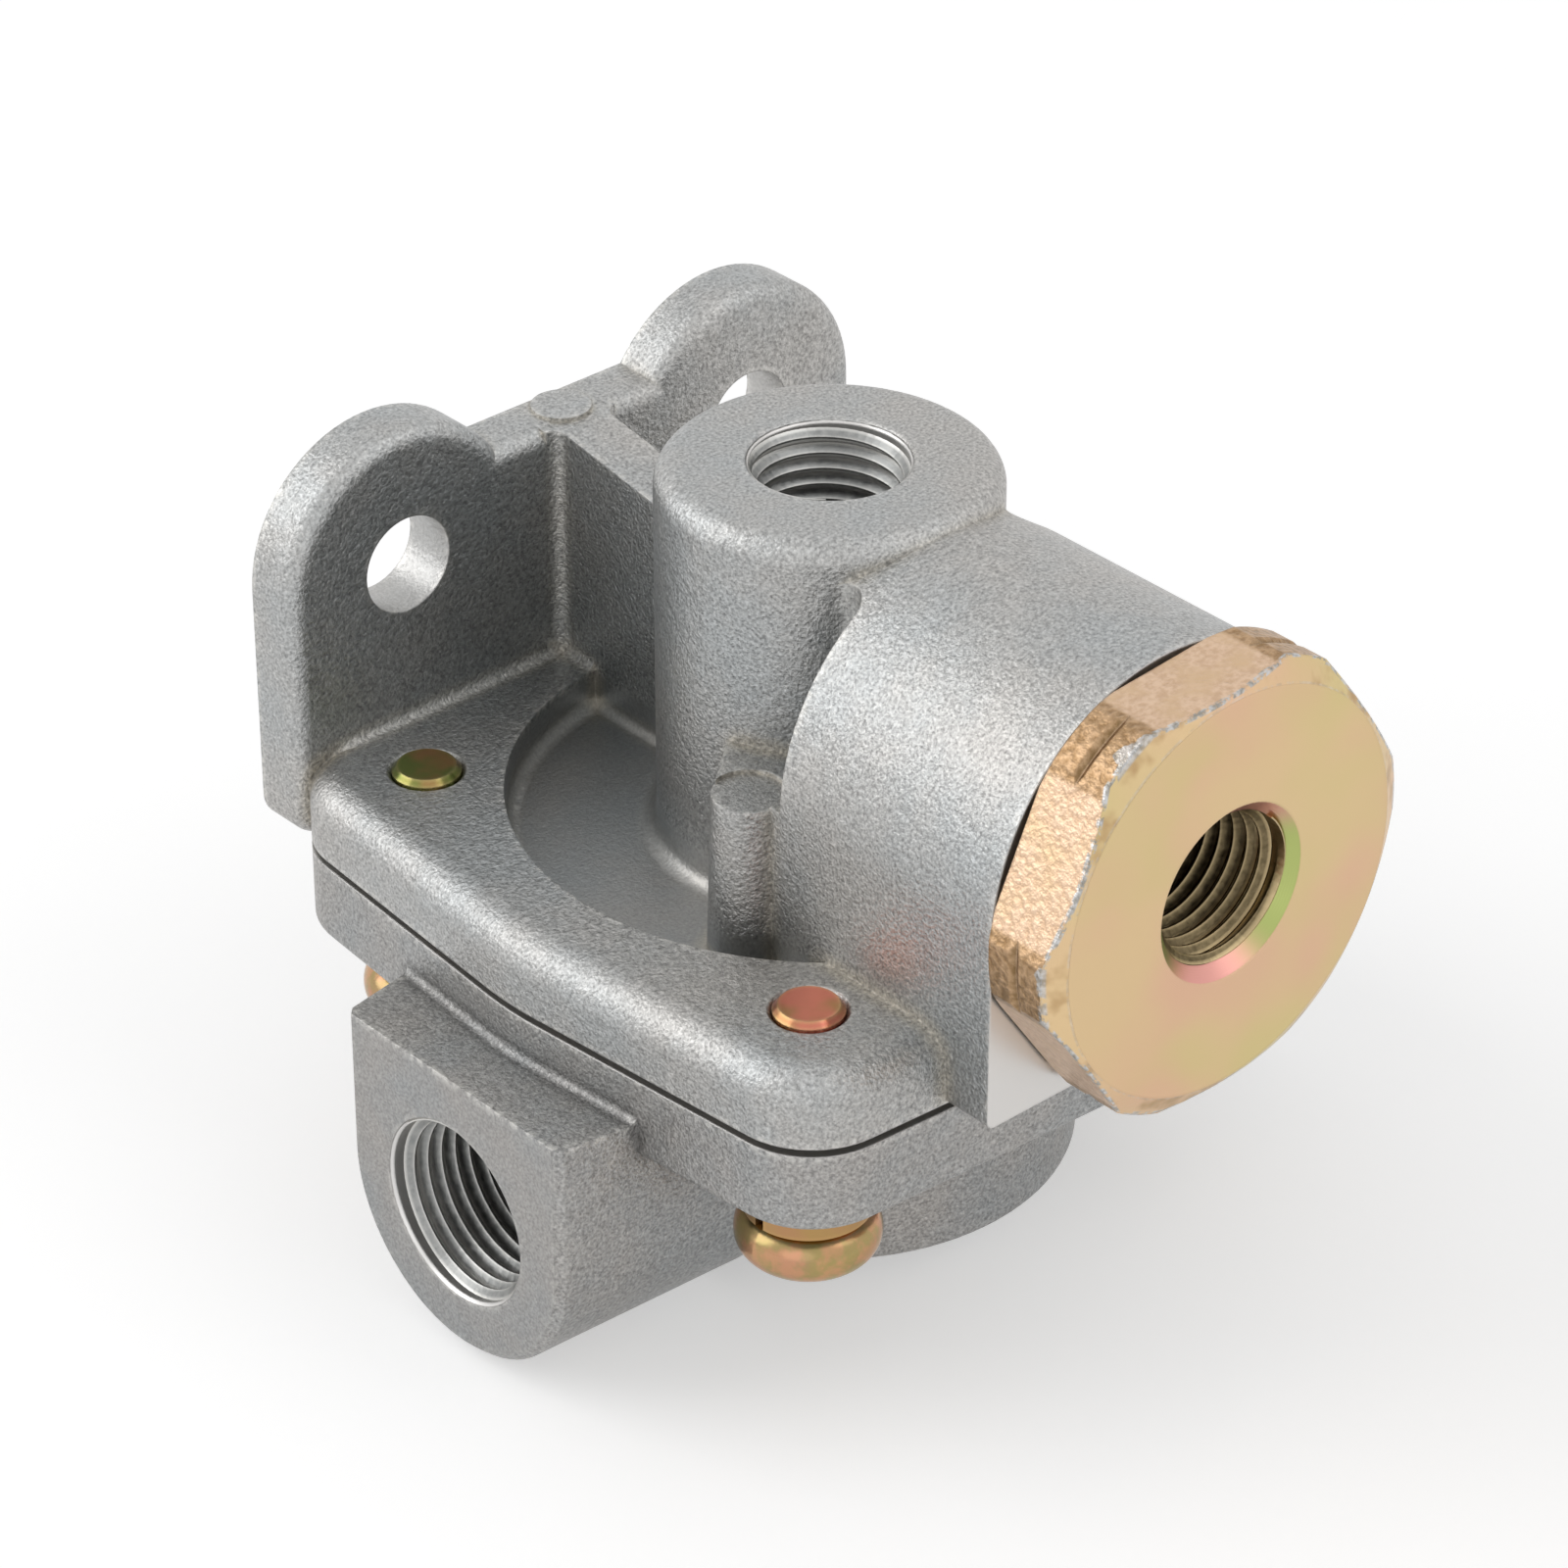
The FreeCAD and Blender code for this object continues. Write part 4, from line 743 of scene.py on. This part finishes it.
spring_low, spring_high = (corner[2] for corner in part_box("release_spring"))
rise = spring_high - spring_low - 2 * WIRE_RADIUS
coil = bmesh.new()
rows = []
count = int(SPRING_TURNS * SPRING_STEPS)
for step in range(count + 1):
    angle = step / SPRING_STEPS * 2 * math.pi
    out = Vector((math.cos(angle), math.sin(angle), 0.0))
    height = spring_low + WIRE_RADIUS + rise * step / count
    center = Vector((0.0, VALVE_AXIS_Y, height)) + out * SPRING_RADIUS
    row = []
    for side in range(WIRE_SIDES):
        turn = side / WIRE_SIDES * 2 * math.pi
        raised = Vector((0.0, 0.0, WIRE_RADIUS * math.sin(turn)))
        row.append(coil.verts.new(center + out * (WIRE_RADIUS * math.cos(turn)) + raised))
    rows.append(row)
close_rows(coil, rows)
for face in coil.faces:
    face.smooth = len(face.verts) == 4
wound_spring = new_piece("wound_release_spring", coil, wire_finish, "housing")
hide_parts("release_spring")
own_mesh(wound_spring)


# Exhaust flap screw and washer
# The pan head screw that holds the flap's middle to the outlet hub, with a
# plain washer under it, both plated and yellow passivated.

flap_fixing_finish, tree, shader = new_finish("passivated flap screw")
place = part_place(tree)[0]
plating = use_effect(tree, passivated, Clouds_per_Metre=320.0, Strength=0.9)
form = use_effect(tree, edges, Ridge_Width=0.35 * MM, Hollow_Width=0.7 * MM)
colour = blend_colours(tree, 0.4, plating["Tint"], paint(206, 162, 96))
colour = blend_colours(tree, form["Ridge"], colour, paint(222, 208, 164))
plug(tree, colour, shader.inputs["Base Color"])
grit = noise(tree, place, 2800.0, 3.0, 0.6)
plug(tree, blend_values(tree, grit, 0.16, 0.34), shader.inputs["Roughness"])
shader.inputs["Metallic"].default_value = 1.0
dent(tree, shader, grit, strength=0.25, depth=0.03 * MM)
wear("exhaust_flap_screw", flap_fixing_finish)
wear("exhaust_flap_washer", flap_fixing_finish)


# Floor, lamps and camera
# A pale floor under the valve, three large soft lamps and an even surround, with
# the camera where the photograph was taken from.

FLOOR_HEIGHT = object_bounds()[0][2]
FLOOR_REACH = 3.0
FLOOR_GLOW = 0.4
floor_mesh = bpy.data.meshes.new("floor")
floor_corners = [(along * FLOOR_REACH, across * FLOOR_REACH, FLOOR_HEIGHT)
                 for along, across in ((-1, -1), (1, -1), (1, 1), (-1, 1))]
floor_mesh.from_pydata(floor_corners, [], [(0, 1, 2, 3)])
floor = bpy.data.objects.new("floor", floor_mesh)
bpy.context.scene.collection.objects.link(floor)


def seen_directly(tree):
    """1 for camera, mirror and see-through rays, 0 for the rays that light the part."""
    path = tree.nodes.new("ShaderNodeLightPath").outputs
    seen = calculate(tree, "MAXIMUM", path["Is Camera Ray"], path["Is Glossy Ray"])
    return calculate(tree, "MAXIMUM", seen, path["Is Transmission Ray"])


floor_finish = bpy.data.materials.new("pale floor")
floor_finish.use_nodes = True
tree = floor_finish.node_tree
tree.nodes.clear()
paper = noise(tree, part_place(tree)[0], 40.0, 2.0)
paper_colour = blend_colours(tree, paper, paint(238, 238, 238), paint(241, 241, 241))
matt = add_node(tree, "ShaderNodeBsdfDiffuse", {"Color": paper_colour})
glow_strength = times(tree, seen_directly(tree), FLOOR_GLOW)
glow = add_node(tree, "ShaderNodeEmission", {"Color": (1, 1, 1, 1), "Strength": glow_strength})
both = add_node(tree, "ShaderNodeAddShader", {0: matt.outputs[0], 1: glow.outputs[0]})
add_node(tree, "ShaderNodeOutputMaterial", {"Surface": both.outputs[0]})
floor_mesh.materials.append(floor_finish)

world = bpy.data.worlds.new("even surround")
bpy.context.scene.world = world
world.use_nodes = True
tree = world.node_tree
surround_strength = blend_values(tree, seen_directly(tree), 0.5, 1.0)
plug(tree, (1, 1, 1, 1), tree.nodes["Background"].inputs["Color"])
plug(tree, surround_strength, tree.nodes["Background"].inputs["Strength"])

VALVE_MIDDLE = (0.0, -40.0 * MM, -20.0 * MM)


def soft_lamp(name, spot, width, power):
    """A round white lamp that points at the middle of the valve."""
    lamp = bpy.data.lights.new(name, "AREA")
    lamp.shape = "DISK"
    lamp.size = width
    lamp.energy = power
    holder = bpy.data.objects.new(name, lamp)
    holder.location = spot
    to_valve = Vector(VALVE_MIDDLE) - Vector(spot)
    holder.rotation_euler = to_valve.to_track_quat("-Z", "Y").to_euler()
    bpy.context.scene.collection.objects.link(holder)


soft_lamp("key lamp", (-0.85, 0.75, 0.7), width=1.2, power=6.0)
soft_lamp("fill lamp", (0.45, -0.75, 0.95), width=1.0, power=1.7)
soft_lamp("front lamp", (-0.95, -0.65, 0.3), width=1.0, power=0.9)

VIEW_AZIMUTH = math.radians(-41.985)
VIEW_ELEVATION = math.radians(32.205)
VIEW_ROLL = math.radians(0.03)
VIEW_DISTANCE = 487.87 * MM
AIM_RIGHT = -3.663 * MM
AIM_UP = 5.266 * MM
SENSOR_WIDTH = 36.0
FOCAL_LENGTH = 133.48

back = Vector((math.sin(VIEW_AZIMUTH) * math.cos(VIEW_ELEVATION),
               -math.cos(VIEW_AZIMUTH) * math.cos(VIEW_ELEVATION), math.sin(VIEW_ELEVATION)))
level = Vector((math.cos(VIEW_AZIMUTH), math.sin(VIEW_AZIMUTH), 0.0))
upright = back.cross(level)
right = level * math.cos(VIEW_ROLL) + upright * math.sin(VIEW_ROLL)
up = upright * math.cos(VIEW_ROLL) - level * math.sin(VIEW_ROLL)
aim = Vector((0.0, VALVE_AXIS_Y, JOINT_HEIGHT)) + right * AIM_RIGHT + up * AIM_UP
camera_data = bpy.data.cameras.new("camera")
camera_data.sensor_width = SENSOR_WIDTH
camera_data.lens = FOCAL_LENGTH
camera = bpy.data.objects.new("camera", camera_data)
turned_to_aim = Matrix((right, up, back)).transposed().to_4x4()
camera.matrix_world = Matrix.Translation(aim + back * VIEW_DISTANCE) @ turned_to_aim
bpy.context.scene.collection.objects.link(camera)
bpy.context.scene.camera = camera
bpy.context.scene.view_settings.view_transform = "Standard"
